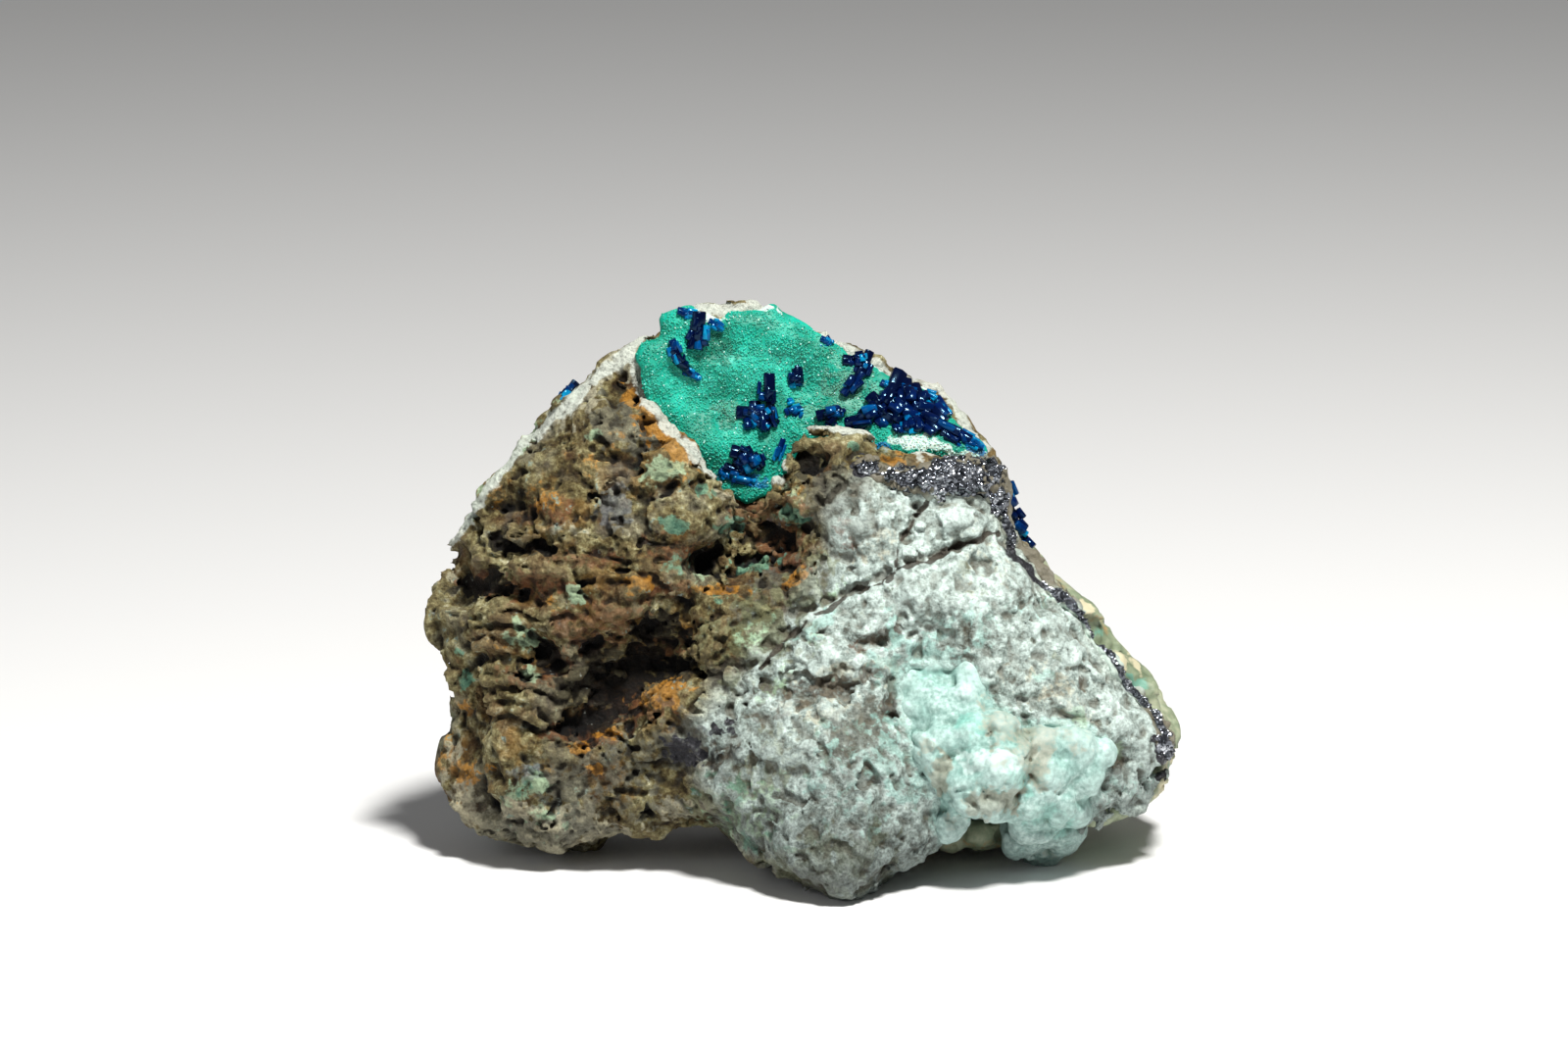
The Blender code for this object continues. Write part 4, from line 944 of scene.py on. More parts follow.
# low: the low spots of the bump pattern, which are darkened below as painted shade
low = (1 - height).between(0.32, 0.62)
seam = (place.mark("seam") + ragged * 0.6).between(0.4, 0.6)
for shade, share in (
    # Painted highlight on the convex parts, brown and pale.
    (paint(150, 142, 108), raised * (1 - pale) * 0.2),
    (paint(206, 222, 216), raised * pale * 0.45),
    # Painted shade in the crevices: dark brown on the brown side, grey-brown on the pale side.
    (paint(26, 20, 13), painted_crevice_shade.between(0.48, 0.68) * (1 - pale) * 0.85),
    (paint(88, 80, 66), painted_crevice_shade.between(0.46, 0.66) * pale * 0.68),
    # Painted shade in the hollows: near black on the brown side, grey-brown on the pale side.
    (paint(8, 6, 4), hollow.between(0.54, 0.72) * (1 - pale)),
    (paint(80, 72, 60), hollow.between(0.6, 0.85) * pale * 0.6),
    (paint(202, 208, 198), (place.mark("white") + ragged * 1.1).between(0.35, 0.85) * 0.85),
    # Painted shade along the cracks.
    (paint(62, 55, 48), (place.mark("crack") + ragged * 0.7).between(0.35, 0.75) * 0.9),
    (paint(70, 70, 74), seam),
    # Painted shade in the low spots of the bump pattern.
    (paint(40, 30, 18), low * (1 - pale) * 0.5),
    (paint(120, 118, 104), low * pale * 0.15),
):
    colour = colour.under(shade, share)
# Painted shade: darker towards the bottom, most on the pale side.
colour = colour.times(grain * 0.9 + 0.58 - place.mark("foot") * (pale * 0.5 + 0.17))
glint = place.cells(1900.0).between(0.2, 0.5)
shine = seam * 0.3 + pale * 0.32 + grain.between(0.5, 0.7) * 0.25
relief = (height + grain * 0.3) * (1 - pale * 0.3)
feeds = {
    "Base Color": colour,
    "Roughness": 0.72 - shine,
    "Metallic": seam * glint * 0.8,
    "Normal": place.bumps(1.0, 0.0004, relief),
}
feed_shader(shader, feeds)

# ---------------------------------------------------------------- green druse
# The crust that lines the back of the pocket: a sugary carpet of tiny copper mineral crystals, each
# up to a quarter of a millimetre, that grew side by side out of a thin undulating bed.
GRAINS = 13000
GRAIN_WIDTH = (0.13, 0.27)  # millimetres
THIN_CRUST = {"voxel": 0.17, "blur": 3, "reach": 0.75, "swell": 0.15}
DRUSE_EDGE = [
    (656, 403), (650, 390), (655, 374), (646, 356), (652, 346), (672, 342), (675, 333),
    (673, 318), (702, 309), (721, 319), (737, 327), (745, 315), (775, 315), (788, 308),
    (803, 320), (830, 334), (865, 353), (892, 368), (904, 384), (935, 392), (961, 403),
    (973, 420), (981, 436), (1004, 452), (1010, 463), (992, 470), (920, 470), (880, 460),
    (840, 450), (814, 456), (804, 476), (790, 500), (762, 512), (735, 500), (712, 474), (690, 449),
    (668, 424),
]  # fmt: skip
DRUSE_DIPS = [
    (740, 350, 22, 16, -20, 1.0), (731, 359, 10, 8, 0, 1.0), (770, 342, 11, 8, 0, 0.8),
    (792, 364, 10, 8, 0, 0.7), (738, 430, 14, 12, 0, 0.9), (690, 375, 14, 8, 0, 0.5),
    (850, 395, 30, 14, 0, 0.5), (905, 448, 12, 8, 0, 0.4), (830, 420, 16, 8, 0, 0.5),
]  # fmt: skip


def druse_relief(points):
    bent = bent_by(points, 2.0, 1.0, 70)
    dips = patches(points, DRUSE_DIPS, 71, 0.2)
    swells = layered_noise(bent, 3.6, 72, 2) - 0.5 + 0.25 * knobs(bent, 2.0, 98)
    return np.clip(swells + 0.1 * knobs(bent, 0.7, 73) - 0.35 * dips, -0.25, 0.8)


druse = grown_from("green_druse", "druse", druse_relief, **THIN_CRUST, triangles=42000)
IN_FRONT = -8.0  # a depth in front of the whole specimen
ANY_TURN = (0, 7)  # radians, a little over a whole turn


def outward_hits(piece, places):
    """Where rays from in front of the face meet a piece at each (x, h), with the normal there."""
    sides = [tuple(f.vertices) for f in piece.data.polygons]
    tree = BVHTree.FromPolygons(spots_of(piece).tolist(), sides)
    found = []
    for x, h in places:
        spot, normal, _, _ = tree.ray_cast(Vector((x, h, IN_FRONT)), Vector((0, 0, 1)))
        if spot is not None:
            normal = normal if normal.z < 0 else -normal
            found.append((*spot, *normal))
    return np.array(found)


def grain_shape(sides, shoulder, taper):
    """A standing crystal one unit high and wide: a tapered prism with a low pyramid on it."""
    turns = np.arange(sides) * 2 * math.pi / sides
    ring = np.stack([np.cos(turns), np.sin(turns)], axis=1) * 0.5
    low = np.column_stack([ring, np.full(sides, -0.3)])
    high = np.column_stack([ring * taper, np.full(sides, shoulder)])
    corners = np.vstack([low, high, [[0.06, -0.04, 1.0]]])
    faces = []
    for i in range(sides):
        j = (i + 1) % sides
        faces += [(i, j, sides + j), (i, sides + j, sides + i), (sides + i, sides + j, 2 * sides)]
    return corners, np.array(faces)


def frames_along(axes, spins):
    """For each axis, two directions square to it and the axis itself, turned by a spin."""
    axes = axes / np.linalg.norm(axes, axis=1)[:, None]
    helper = np.where(np.abs(axes[:, 2:]) < 0.9, [[0.0, 0.0, 1.0]], [[1.0, 0.0, 0.0]])
    first = np.cross(axes, helper)
    first /= np.linalg.norm(first, axis=1)[:, None]
    second = np.cross(axes, first)
    cos, sin = np.cos(spins)[:, None], np.sin(spins)[:, None]
    return np.stack([first * cos + second * sin, second * cos - first * sin, axes], axis=1)


def many(shape, places, frames, sizes):
    """Copies of a shape, in millimetres on the face, as one list of corners and of faces."""
    corners, faces = shape
    scaled = corners[None] * sizes[:, None, :]
    spots = np.einsum("nci,nij->ncj", scaled, frames) + places[:, None, :]
    offsets = np.arange(len(places)) * len(corners)
    return spots.reshape(-1, 3), (faces[None] + offsets[:, None, None]).reshape(-1, 3)


def merged_into(piece, other):
    """Joins another mesh into a piece, with its marks."""
    bpy.ops.object.select_all(action="DESELECT")
    other.select_set(True)
    piece.select_set(True)
    bpy.context.view_layer.objects.active = piece
    bpy.ops.object.join()


chance = np.random.default_rng(11)
POCKET = ((-16.0, 32.0), (17.0, 52.0))  # the corners of a box round the druse on the face
tries = chance.uniform(*POCKET, (GRAINS * 2, 2))
edge_room = inside_outline(np.column_stack([tries, np.zeros(len(tries))]), DRUSE_EDGE)
seats = outward_hits(druse, tries[edge_room > 0.05][:GRAINS])
grain_axes = seats[:, 3:] + chance.normal(0, 0.35, (len(seats), 3))
grain_frames = frames_along(grain_axes, chance.uniform(*ANY_TURN, len(seats)))
widths = chance.uniform(*GRAIN_WIDTH, len(seats))
lengths = widths * chance.uniform(0.3, 0.75, len(seats))
grain_sizes = np.column_stack([widths, widths * chance.uniform(0.6, 1, len(seats)), lengths])
grain = grain_shape(sides=4, shoulder=0.7, taper=0.8)
corners, faces = many(grain, seats[:, :3], grain_frames, grain_sizes)
grains = new_piece("grains", on_face(corners), faces)
mark(grains, "tone", np.repeat(chance.uniform(0, 1, len(seats)), len(grain[0])))
mark(grains, "tip", np.tile(np.clip(grain[0][:, 2], 0, 1), len(seats)))
merged_into(druse, grains)
spots = spots_of(druse)
mark(druse, "dip", patches(spots, DRUSE_DIPS, 74))
DRUSE_SHADES = {
    "bright": [
        (770, 375, 60, 30, 0, 0.9), (700, 395, 46, 20, -30, 0.7), (800, 330, 40, 12, -30, 0.6),
        (690, 355, 40, 14, 20, 0.6), (770, 420, 26, 30, 0, 0.6), (820, 360, 24, 20, 0, 0.6),
    ],
    "greyed": [
        (860, 395, 44, 24, 10, 1.0), (740, 415, 16, 14, 0, 0.8), (850, 360, 30, 12, -30, 0.6),
        (925, 448, 24, 12, 0, 0.9), (948, 420, 8, 10, 0, 0.6), (835, 415, 22, 10, 0, 0.7),
    ],
    "white": [
        (725, 316, 24, 10, 8, 1.0), (960, 398, 26, 7, -20, 1.0), (982, 420, 7, 20, 0, 1.0),
        (780, 311, 26, 5, 0, 0.8), (930, 449, 22, 9, 0, 0.8), (955, 455, 26, 7, -10, 0.9),
        (835, 334, 30, 4, -32, 0.8), (880, 361, 24, 4, -35, 0.8), (990, 463, 26, 6, 0, 0.9),
    ],
    "azure": [
        (864, 447, 6, 5, 0, 1.0), (765, 488, 26, 9, 0, 0.8), (792, 468, 10, 14, 40, 0.7),
        (700, 318, 10, 6, 0, 0.5), (998, 455, 14, 9, -20, 1.0), (955, 408, 14, 7, -20, 0.8),
        (913, 396, 12, 7, 0, 0.6), (905, 455, 14, 6, 0, 0.8), (880, 372, 14, 10, -30, 0.5),
        (738, 484, 9, 9, 0, 0.8),
    ],
}  # fmt: skip
for seed, (shade, rows) in enumerate(DRUSE_SHADES.items(), 75):
    mark(druse, shade, patches(spots, rows, seed))

soft = {"Subsurface_Weight": 0.3, "Subsurface_Scale": 0.0006, "Specular_IOR_Level": 0.3}
shader, place = new_finish("druse finish", "druse", "green_druse", [druse], **soft)
tone, tip = place.mark("tone"), place.mark("tip")
cloud, fine = place.noise(420.0, 3.0), place.noise(2600.0, 2.0)
colour = (cloud * 0.8 + tone * 0.12 + fine * 0.08).shaded(
    (0.3, paint(2, 120, 99)), (0.5, paint(5, 150, 127)), (0.7, paint(24, 178, 154))
)
ragged = (cloud - 0.5) * 0.6 + (fine - 0.5) * 0.4 + (tone - 0.5) * 0.3
rows = [
    ("bright", paint(58, 196, 172), 0.2, 0.9, 0.55),
    ("greyed", paint(94, 150, 130), 0.3, 0.8, 0.6),
    # Painted shade in the dips of the druse.
    ("dip", paint(12, 88, 70), 0.3, 0.9, 0.6),
    ("white", paint(200, 216, 206), 0.35, 0.6, 0.9),
    ("azure", paint(8, 104, 156), 0.35, 0.7, 0.9),
]
glint = tone.between(0.97, 0.975) * tip.between(0.2, 0.6)
colour = covered(colour, place, ragged, rows)
# Painted glints: a few grains whitened near their tips, with a faint painted highlight on every
# grain's tip.
colour = colour.under(paint(190, 232, 222), tip**3 * 0.08 + glint * 0.7)
feed_shader(shader, {"Base Color": colour, "Roughness": 0.5 - glint * 0.4 - tone * 0.15})

# ---------------------------------------------------------------- blue crystals
# Clusters of glassy copper mineral crystals, navy to black in the body and azure where they are
# thin. Each is made of sheaves of flat six-sided blades, one or two millimetres wide, that grew
# into each other.
SHEAVES = {  # the middle of each sheaf, a place one length away along it, and its width
    "blue_crystals_upper_left": [
        (712, 328, 710, 352, 1.9), (707, 338, 704, 362, 1.3), (702, 318, 718, 320, 1.1),
        (712, 340, 709, 364, 1.3), (728, 329, 740, 336, 1.0), (700, 317, 719, 321, 1.1),
    ],
    "blue_crystals_curved": [
        (687, 352, 691, 366, 1.1), (690, 362, 697, 376, 1.2), (695, 371, 708, 382, 1.2),
        (704, 380, 720, 386, 1.0),
    ],
    "blue_crystals_single": [(814, 380, 815, 399, 1.6), (810, 385, 811, 398, 0.9)],
    "blue_crystals_centre": [
        (785, 392, 786, 418, 1.6), (763, 420, 788, 421, 1.9), (770, 420, 771, 444, 1.7),
        (788, 418, 795, 444, 1.3), (775, 428, 790, 438, 1.6), (762, 428, 768, 440, 1.1),
    ],
    "blue_crystals_lower": [
        (756, 462, 778, 468, 1.9), (763, 466, 772, 486, 2.0), (748, 478, 768, 484, 1.2),
        (772, 468, 781, 480, 1.3), (752, 470, 758, 484, 1.2),
        (746, 481, 758, 492, 1.0), (756, 490, 776, 493, 1.0), (738, 482, 746, 490, 0.8),
        (796, 456, 790, 476, 0.8),
    ],
    "blue_crystals_notch": [(808, 417, 822, 412, 1.1), (812, 420, 818, 410, 0.9)],
    "blue_crystals_small": [(843, 345, 853, 350, 0.9), (846, 344, 850, 351, 0.7)],
    "blue_crystals_diagonal": [
        (869, 366, 886, 368, 1.5), (884, 368, 874, 393, 1.3), (875, 386, 861, 411, 1.4),
        (845, 421, 868, 416, 1.6), (851, 424, 862, 410, 1.2), (878, 362, 880, 374, 1.2),
    ],
    "blue_crystals_shelf": [
        (877, 428, 905, 420, 1.8), (914, 392, 902, 424, 2.2), (906, 421, 926, 434, 2.1),
        (927, 398, 930, 425, 1.8), (931, 424, 936, 450, 1.6), (930, 419, 959, 424, 2.2),
        (951, 416, 972, 442, 2.1), (962, 436, 1003, 457, 1.6), (896, 410, 912, 426, 1.9),
        (938, 400, 946, 420, 1.6), (944, 428, 960, 444, 1.7), (918, 430, 924, 446, 1.3),
        (926, 395, 944, 401, 1.1), (944, 401, 966, 411, 1.1), (964, 412, 976, 430, 1.1),
        (984, 442, 1006, 456, 1.1), (990, 450, 1010, 461, 1.0), (905, 391, 916, 397, 1.0),
        (884, 422, 896, 430, 1.5), (972, 446, 992, 459, 1.2), (915, 405, 922, 428, 2.0),
    ],
}  # fmt: skip
RIM_SHEAVES = {  # the same, with a depth after each place
    "blue_crystals_right_rim": [
        (1027, 500, 12.0, 1035, 524, 12.4, 1.8), (1032, 520, 12.6, 1041, 544, 12.6, 1.8),
        (1038, 538, 12.4, 1053, 556, 12.8, 1.7), (1046, 550, 13.0, 1061, 564, 12.6, 1.4),
        (1029, 505, 12.8, 1033, 528, 13.4, 1.2), (1040, 542, 13.4, 1050, 560, 12.4, 1.1),
    ],
    "blue_crystals_left_rim": [
        (579, 396, 12.0, 567, 414, 11.6, 1.2), (572, 406, 12.3, 560, 425, 12.1, 1.1),
        (575, 399, 11.4, 568, 411, 11.2, 0.8),
    ],
}  # fmt: skip
BLADES = 8  # blades in each sheaf: a whole one at its heart, and shorter ones round it
SMALL_SHEAF = 1.15  # a sheaf narrower than this is thin all through, and so azure


def bevelled_shape(bevel):
    """The corners and triangles of the model just made, with its edges bevelled."""
    model = bpy.context.object
    bpy.ops.object.mode_set(mode="EDIT")
    bpy.ops.mesh.select_all(action="SELECT")
    bpy.ops.mesh.bevel(offset=bevel, segments=1, affect="EDGES")
    bpy.ops.mesh.quads_convert_to_tris()
    bpy.ops.object.mode_set(mode="OBJECT")
    corners = np.array([v.co for v in model.data.vertices])
    faces = np.array([f.vertices for f in model.data.polygons])
    bpy.data.objects.remove(model)
    return corners, faces


bpy.ops.mesh.primitive_cylinder_add(vertices=6, radius=0.5, depth=1)
for vertex in bpy.context.object.data.vertices:
    vertex.co.x *= 0.7
    vertex.co.y *= 0.8
blade = bevelled_shape(0.03)


def face_outwards(piece):
    work = bmesh.new()
    work.from_mesh(piece.data)
    bmesh.ops.recalc_face_normals(work, faces=work.faces)
    work.to_mesh(piece.data)
    work.free()


def make_sheaves(node, runs, seed):
    """A cluster from its runs: each a sheaf's middle, the place one length along it, and its width,
    in millimetres on the face."""
    luck = np.random.default_rng(seed)
    middles, ways, wide, flat, thin = [], [], [], [], []
    for start, end, width in runs:
        start, way = np.array(start), np.array(end) - np.array(start)
        length = np.linalg.norm(way)
        aside = np.cross(way / length, (0.0, 0.0, 1.0))
        for i in range(BLADES):
            heart = i == 0
            part = 0.0 if heart else luck.uniform(-0.06, 0.5)
            reach = 1.0 if heart else luck.uniform(0.35, 0.6)
            off = 0 if heart else luck.normal(0, 0.25) * width
            lift = 0.1 * width if heart else luck.uniform(-0.16, 0.16) * width
            middles.append(start + way * part + aside * off + np.array((0, 0, lift)))
            tilt = luck.normal(0, 0.02 if heart else 0.07, 3) * length
            ways.append(way * reach + tilt)
            wide.append(width * (1.0 if heart else luck.uniform(0.45, 0.9)))
            flat.append(0.5 if heart else luck.uniform(0.5, 0.9))
            edge = 0.0 if heart else luck.uniform(0, 1) ** 4 + min(abs(off) / width, 0.3)
            thin.append(edge + 0.6 * (width < SMALL_SHEAF))
    middles, ways, wide, flat = map(np.array, (middles, ways, wide, flat))
    sizes = np.column_stack([wide, wide * flat, np.linalg.norm(ways, axis=1)])
    spins = np.where(flat == 0.5, 0.3, luck.uniform(*ANY_TURN, len(wide)))
    corners, faces = many(blade, middles, frames_along(ways, spins), sizes)
    cluster = new_piece(node.replace("blue_crystals", "blades"), on_face(corners), faces)
    face_outwards(cluster)
    mark(cluster, "thin", np.repeat(np.clip(thin, 0, 1), len(blade[0])))
    mark(cluster, "tip", np.tile(np.clip(blade[0][:, 2], 0, 1), len(wide)))
    return cluster


GLASSY = {"Specular_IOR_Level": 0.4, "Specular_Tint": (0.35, 0.7, 1, 1)}


def blue_finish(piece, node):
    shader, place = new_finish(piece.name + " finish", "blue_crystal", node, [piece], **GLASSY)
    cloud = place.noise(900.0, 3.0)
    colour = (place.mark("thin") * 0.64 + cloud * 0.35 + place.mark("tip") * 0.12).shaded(
        (0.25, paint(1, 12, 40)), (0.55, paint(1, 28, 72)), (0.74, paint(2, 72, 126)),
        (0.9, paint(14, 132, 176)),
    )  # fmt: skip
    streaks = place.bumps(0.25, 0.00004, place.noise(5200.0, 2.0))
    feed_shader(shader, {"Base Color": colour, "Roughness": 0.04 + cloud * 0.2, "Normal": streaks})


STANDS_OUT = 0.18  # how far a sheaf stands out of the druse, as a share of its width
for seed, (node, rows) in enumerate(SHEAVES.items(), 200):
    runs = []
    for column, row, to_column, to_row, width in rows:
        ends = [drawn(column, row), drawn(to_column, to_row)]
        hits = outward_hits(druse, ends)
        depths = [hits[i][2] - STANDS_OUT * width for i in (0, -1)]
        runs.append(([*ends[0], depths[0]], [*ends[1], depths[1]], width))
    blue_finish(make_sheaves(node, runs, seed), node)
for seed, (node, rows) in enumerate(RIM_SHEAVES.items(), 240):
    runs = [([*drawn(*row[:2]), row[2]], [*drawn(*row[3:5]), row[5]], row[6]) for row in rows]
    blue_finish(make_sheaves(node, runs, seed), node)

# ---------------------------------------------------------------- galena seam
# A vein of lead sulphide that runs along the top right edge and down the right rim: a mass of
# bright-faced cubes of up to three quarters of a millimetre, grown into each other on a dull bed.
CUBES = 1100
CUBE_WIDTH = (0.18, 0.6)  # millimetres
TOP_STARTS = (6.0, 10.0)  # x between which the seam thickens from its left end
RIM_STARTS = (16.0, 19.0)  # x between which the seam turns from the broad top to the narrow rim


def seam_relief(points):
    thin = eased(points[:, 0], *RIM_STARTS) + 1 - eased(points[:, 0], *TOP_STARTS)
    rough = 0.45 * (knobs(points, 0.9, 81) - 0.5) + 0.3 * (knobs(points, 0.5, 82) - 0.5)
    return rough + 0.7 * (layered_noise(points, 1.8, 80, 2) - 0.5) - 0.3 * thin


seam_body = grown_from("galena_seam", "galena", seam_relief, **THIN_CRUST, triangles=60000)
bpy.ops.mesh.primitive_cube_add(size=1)
cube = bevelled_shape(0.06)
luck = np.random.default_rng(83)
spots = spots_of(seam_body)
shuffled = luck.permutation(len(spots))
front_ones = spots[shuffled[metal_share(spots[shuffled]) > 0.5][:CUBES]]
narrow = eased(front_ones[:, 0], *RIM_STARTS)[:, None]
count = len(front_ones)
sizes = luck.uniform(*CUBE_WIDTH, (count, 1)) * luck.uniform(0.7, 1.2, (count, 3))
frames = frames_along(luck.normal(0, 1, (count, 3)), luck.uniform(*ANY_TURN, count))
corners, faces = many(cube, front_ones, frames, sizes * (1 - 0.4 * narrow))
cubes = new_piece("cubes", on_face(corners), faces)
face_outwards(cubes)
merged_into(seam_body, cubes)
spots = spots_of(seam_body)
mark(seam_body, "metal", metal_share(spots))
chalky = [(960, 545, 70, 34, 0, 1.2), (1010, 580, 30, 50, 0, 1.2), (1090, 690, 80, 80, 0, 1.2)]
mark(seam_body, "chalky", patches(spots, chalky, 64, 0.2))
shader, place = new_finish("galena finish", "galena", "galena_seam", [seam_body])
cloud, fine = place.noise(800.0, 3.0), place.noise(3000.0, 3.0)
bright = (cloud * 0.5 + fine * 0.5).shaded(
    (0.34, paint(44, 46, 52)), (0.52, paint(116, 120, 127)), (0.66, paint(226, 230, 236))
)
metal = (place.mark("metal") + (place.noise(700.0, 4.0) - 0.5) * 0.9).between(0.4, 0.55)
earth = bright.under(paint(104, 98, 80), 0.9).under(paint(180, 196, 186), place.mark("chalky"))
# Painted shade: the bed darker in its crevices.
earth = earth.under(paint(86, 78, 66), place.mark("crevice").between(0.5, 0.75) * 0.8)
feeds = {
    "Base Color": earth.under(bright, metal),
    "Metallic": metal * 0.9,
    "Roughness": 0.6 - metal * 0.56 + cloud * 0.24,
    "Normal": place.bumps(0.8, 0.0002, (1 - metal) * fine),
}
feed_shader(shader, feeds)

# ---------------------------------------------------------------- pale lumps
# The knobbly crust low on the right of the front: a waxy pale turquoise mineral in smooth rounded
# lumps, with hanging lobes, and broken through here and there to its rough greyish inside.
LUMP_PATCHES = {
    "broken": [
        (1010, 815, 38, 18, 10, 1.0), (960, 790, 14, 26, 20, 1.0), (1052, 770, 40, 40, 40, 0.8),
        (1030, 720, 30, 40, 0, 0.7), (1075, 875, 10, 7, 0, 0.6), (968, 838, 9, 9, 0, 0.6),
        (945, 760, 12, 12, 0, 0.8), (1090, 740, 30, 26, 0, 0.5),
    ],
    "aqua": [
        (985, 735, 22, 16, 0, 1.0), (950, 690, 30, 22, 0, 0.6), (1030, 750, 16, 30, 30, 0.7),
        (1060, 830, 30, 14, 0, 0.7), (1085, 840, 20, 20, 0, 0.7), (985, 770, 16, 20, 0, 0.6),
        (930, 650, 20, 20, 0, 0.5), (1042, 800, 9, 30, 30, 0.8),
    ],
    "white": [
        (1010, 772, 40, 14, 0, 1.0), (1065, 865, 36, 16, 0, 0.7), (980, 840, 10, 12, 0, 0.8),
        (960, 710, 30, 30, 0, 0.5), (1095, 800, 20, 20, 0, 0.6), (1050, 822, 16, 10, 0, 0.6),
    ],
}  # fmt: skip
LUMP_TOP = [(960, 690, 60, 50, 0, 1.0)]  # where the crust swells most
LOBE_SHADE_ENDS = (1.0, 11.0)  # heights between which the painted shade on the low hanging lobes gives way


def lump_relief(points):
    bent = bent_by(points, 1.8, 0.9, 84)
    broken = patches(points, LUMP_PATCHES["broken"], 85)
    smooth = 0.95 * (knobs(bent, 2.5, 86) - 0.5) + 0.45 * (knobs(bent, 1.15, 87) - 0.5)
    smooth += 0.14 * (knobs(points, 0.6, 66) - 0.5)
    rough = 0.4 * (knobs(bent, 0.7, 88) - 0.5) + 0.3 * ridged(bent, 1.6, 89, 3)
    rough += 0.3 * facets(bent, 1.6, 67)
    top = patches(points, LUMP_TOP, 63, 0.2)
    return smooth * (1 - broken) + rough * broken + 0.2 * top


lumps = grown_from(
    "pale_lumps", "lumps", lump_relief, voxel=0.17, blur=5, reach=1.2, triangles=120000, swell=0.32
)
spots = spots_of(lumps)
mark(lumps, "foot", 1 - eased(spots[:, 1], *LOBE_SHADE_ENDS))
for seed, (shade, rows) in enumerate(LUMP_PATCHES.items(), 300):
    mark(lumps, shade, patches(spots, rows, seed))
shader, place = new_finish("lump finish", "pale_crust", "pale_lumps", [lumps], IOR=1.5)
cloud, fine = place.noise(380.0, 4.0), place.noise(2600.0, 4.0)
colour = (cloud * 0.6 + fine * 0.4).shaded(
    (0.3, paint(110, 146, 136)), (0.5, paint(140, 174, 166)), (0.7, paint(172, 196, 191))
)
ragged = (fine - 0.5) * 0.8 + (cloud - 0.5) * 0.4
rows = [
    ("aqua", paint(108, 182, 166), 0.3, 1.1, 0.55),
    ("white", paint(184, 206, 200), 0.3, 0.9, 0.8),
]
colour = covered(colour, place, ragged, rows)
broken = (place.mark("broken") + ragged * 1.6).between(0.3, 0.9)
colour = colour.under(paint(142, 138, 120), broken * 0.75)
# Painted highlight: the convex parts of the lumps lightened.
raised = (1 - place.mark("hollow")).between(0.5, 0.66)
colour = colour.under(paint(188, 210, 204), raised * (1 - broken * 0.5) * 0.42)
# Painted shade: darker towards the bottom of the lumps, on the low hanging lobes.
colour = colour.times(fine + 0.52 - place.mark("foot") * 0.48)
# Painted shade in the creases between the lumps, browner where they are broken.
painted_crease_shade = place.mark("crevice").between(0.52, 0.8)
colour = colour.under(paint(82, 112, 98), painted_crease_shade * 0.65)
colour = colour.under(paint(96, 80, 62), painted_crease_shade * place.mark("broken").between(0.4, 0.8) * 0.8)
waxy = place.bumps(0.35, 0.0001, place.noise(3200.0, 4.0))
feed_shader(shader, {"Base Color": colour, "Roughness": 0.42 + fine * 0.3, "Normal": waxy})

# ---------------------------------------------------------------- back crust
# A thin crust that wraps the back right of the rock and shows as a rim past the galena: waxy cream
# and grey-green, finely knobbly outside, with a rusty outer edge.
CRUST_PATCHES = {
    "cream": [
        (1145, 678, 18, 20, -40, 1.0), (1111, 622, 10, 8, 0, 1.0), (1200, 790, 16, 30, 0, 0.7),
        (1050, 560, 20, 14, 0, 0.8), (1100, 860, 40, 10, 0, 0.5),
    ],
    "teal": [
        (1165, 698, 16, 9, -40, 1.0), (1125, 645, 9, 12, -40, 0.5), (1108, 630, 8, 6, 0, 0.5),
    ],
    "orange": [
        (1130, 640, 6, 14, 40, 0.6), (1080, 600, 10, 20, 40, 0.6), (1000, 866, 50, 8, 0, 0.5),
    ],
}  # fmt: skip
RIM_ENDS = (13.5, 16.5)  # depths between which the crust's drawn rim gives way to its back


def crust_relief(points):
    bent = bent_by(points, 2.6, 1.8, 90)
    lobes = 0.9 * (knobs(bent, 3.6, 94) - 0.5) + 0.45 * (knobs(bent, 1.6, 95) - 0.5)
    fine = 0.32 * (knobs(points, 0.8, 96) - 0.5) + 0.25 * ridged(bent, 2.2, 97, 3)
    fine += 0.3 * facets(bent, 2.0, 55)
    return np.clip(lobes + fine + 0.9 * (layered_noise(bent, 4.5, 65, 3) - 0.5), -0.5, 0.75)


crust = grown_from(
    "back_crust", "crust", crust_relief, voxel=0.24, blur=5, reach=1.6, triangles=95000, swell=0.15
)
spots = spots_of(crust)
behind = eased(spots[:, 2], *RIM_ENDS)
for seed, (shade, rows) in enumerate(CRUST_PATCHES.items(), 310):
    scattered = eased(layered_noise(spots, 3.2, seed + 20, 4), 0.5, 0.68) * 0.85
    mark(crust, shade, patches(spots, rows, seed) * (1 - behind) + scattered * behind)
shader, place = new_finish("crust finish", "back_crust", "back_crust", [crust], IOR=1.5)
cloud, fine = place.noise(260.0, 5.0), place.noise(2000.0, 4.0)
colour = (cloud * 0.7 + fine * 0.3).shaded(
    (0.3, paint(92, 104, 80)), (0.45, paint(124, 136, 110)), (0.58, paint(156, 160, 134)),
    (0.72, paint(182, 180, 158)),
)  # fmt: skip
ragged = (fine - 0.5) * 1.4 + (place.noise(800.0, 3.0) - 0.5) * 1.2
rows = [
    ("cream", paint(204, 194, 162), 0.3, 0.9, 0.8),
    ("teal", paint(98, 156, 138), 0.3, 0.9, 0.8),
    ("orange", paint(150, 112, 62), 0.35, 0.95, 0.7),
]
colour = covered(colour, place, ragged, rows)
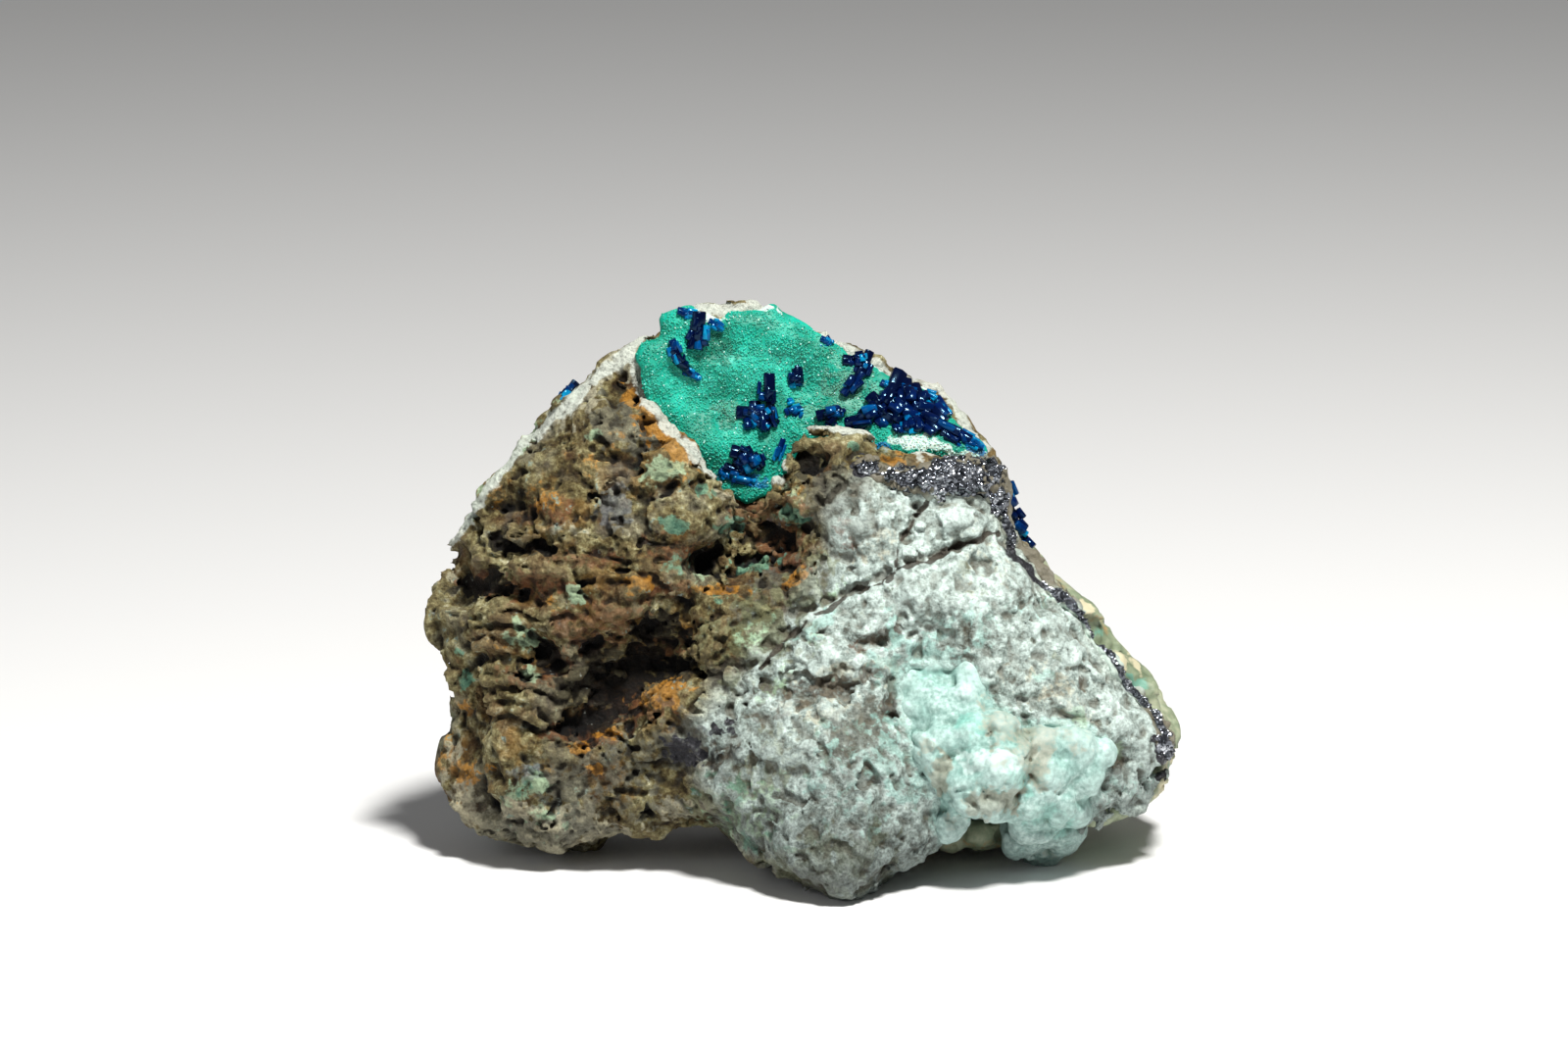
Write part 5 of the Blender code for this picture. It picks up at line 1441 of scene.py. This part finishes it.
# Painted shade: the crust darker in its crevices.
colour = colour.under(paint(92, 88, 64), place.mark("crevice").between(0.52, 0.8) * 0.7)
waxy = place.bumps(0.4, 0.0001, place.noise(2800.0, 4.0))
feed_shader(shader, {"Base Color": colour, "Roughness": 0.4 + fine * 0.35, "Normal": waxy})

# ---------------------------------------------------------------- floor, light and camera
# A plain pale table top in a studio, with a small soft lamp above, a large weak one beside it and
# a long lens that looks square at the leaning front face.
AIM = on_face([(-2.0, 31.8, 6.0)])[0]  # what the camera looks at
LAMPS_AIM = (0, 0, 0.022)  # the middle of the specimen
VIEW_WIDTH = 0.13333  # metres across the picture, at the specimen
FOCAL, SENSOR = 135, 36  # millimetres
PALE = (0.8, 0.8, 0.8, 1)
bpy.ops.mesh.primitive_plane_add(size=6)
floor = bpy.context.object
floor.name = "floor"
material = bpy.data.materials.new("floor finish")
material.use_nodes = True
shader = material.node_tree.nodes["Principled BSDF"]
shader.inputs["Base Color"].default_value = PALE
shader.inputs["Roughness"].default_value = 0.6
floor.data.materials.append(material)


def aimed(obj, at):
    obj.rotation_euler = (Vector(at) - obj.location).to_track_quat("-Z", "Y").to_euler()


def softbox(name, place, size, power, tint):
    light = bpy.data.lights.new(name, "AREA")
    light.size = size
    light.energy = power
    light.color = tint
    obj = bpy.data.objects.new(name, light)
    obj.location = place
    bpy.context.scene.collection.objects.link(obj)
    aimed(obj, LAMPS_AIM)


softbox("key", (0.1, -0.2, 0.48), 0.08, 4.6, (1, 0.99, 0.96))
softbox("fill", (-0.3, -0.4, 0.25), 0.3, 0.38, (0.95, 0.97, 1))
world = bpy.data.worlds.new("studio")
world.use_nodes = True
sky = world.node_tree.nodes["Background"]
sky.inputs["Color"].default_value = PALE
sky.inputs["Strength"].default_value = 0.16
bpy.context.scene.world = world
bpy.context.scene.view_settings.view_transform = "Standard"

lens = bpy.data.cameras.new("camera")
lens.lens, lens.sensor_width, lens.clip_start = FOCAL, SENSOR, 0.01
camera = bpy.data.objects.new("camera", lens)
bpy.context.scene.collection.objects.link(camera)
towards = Vector((0, -math.cos(LEAN), math.sin(LEAN)))
camera.location = Vector(AIM) + towards * VIEW_WIDTH * FOCAL / SENSOR
aimed(camera, AIM)
bpy.context.scene.camera = camera
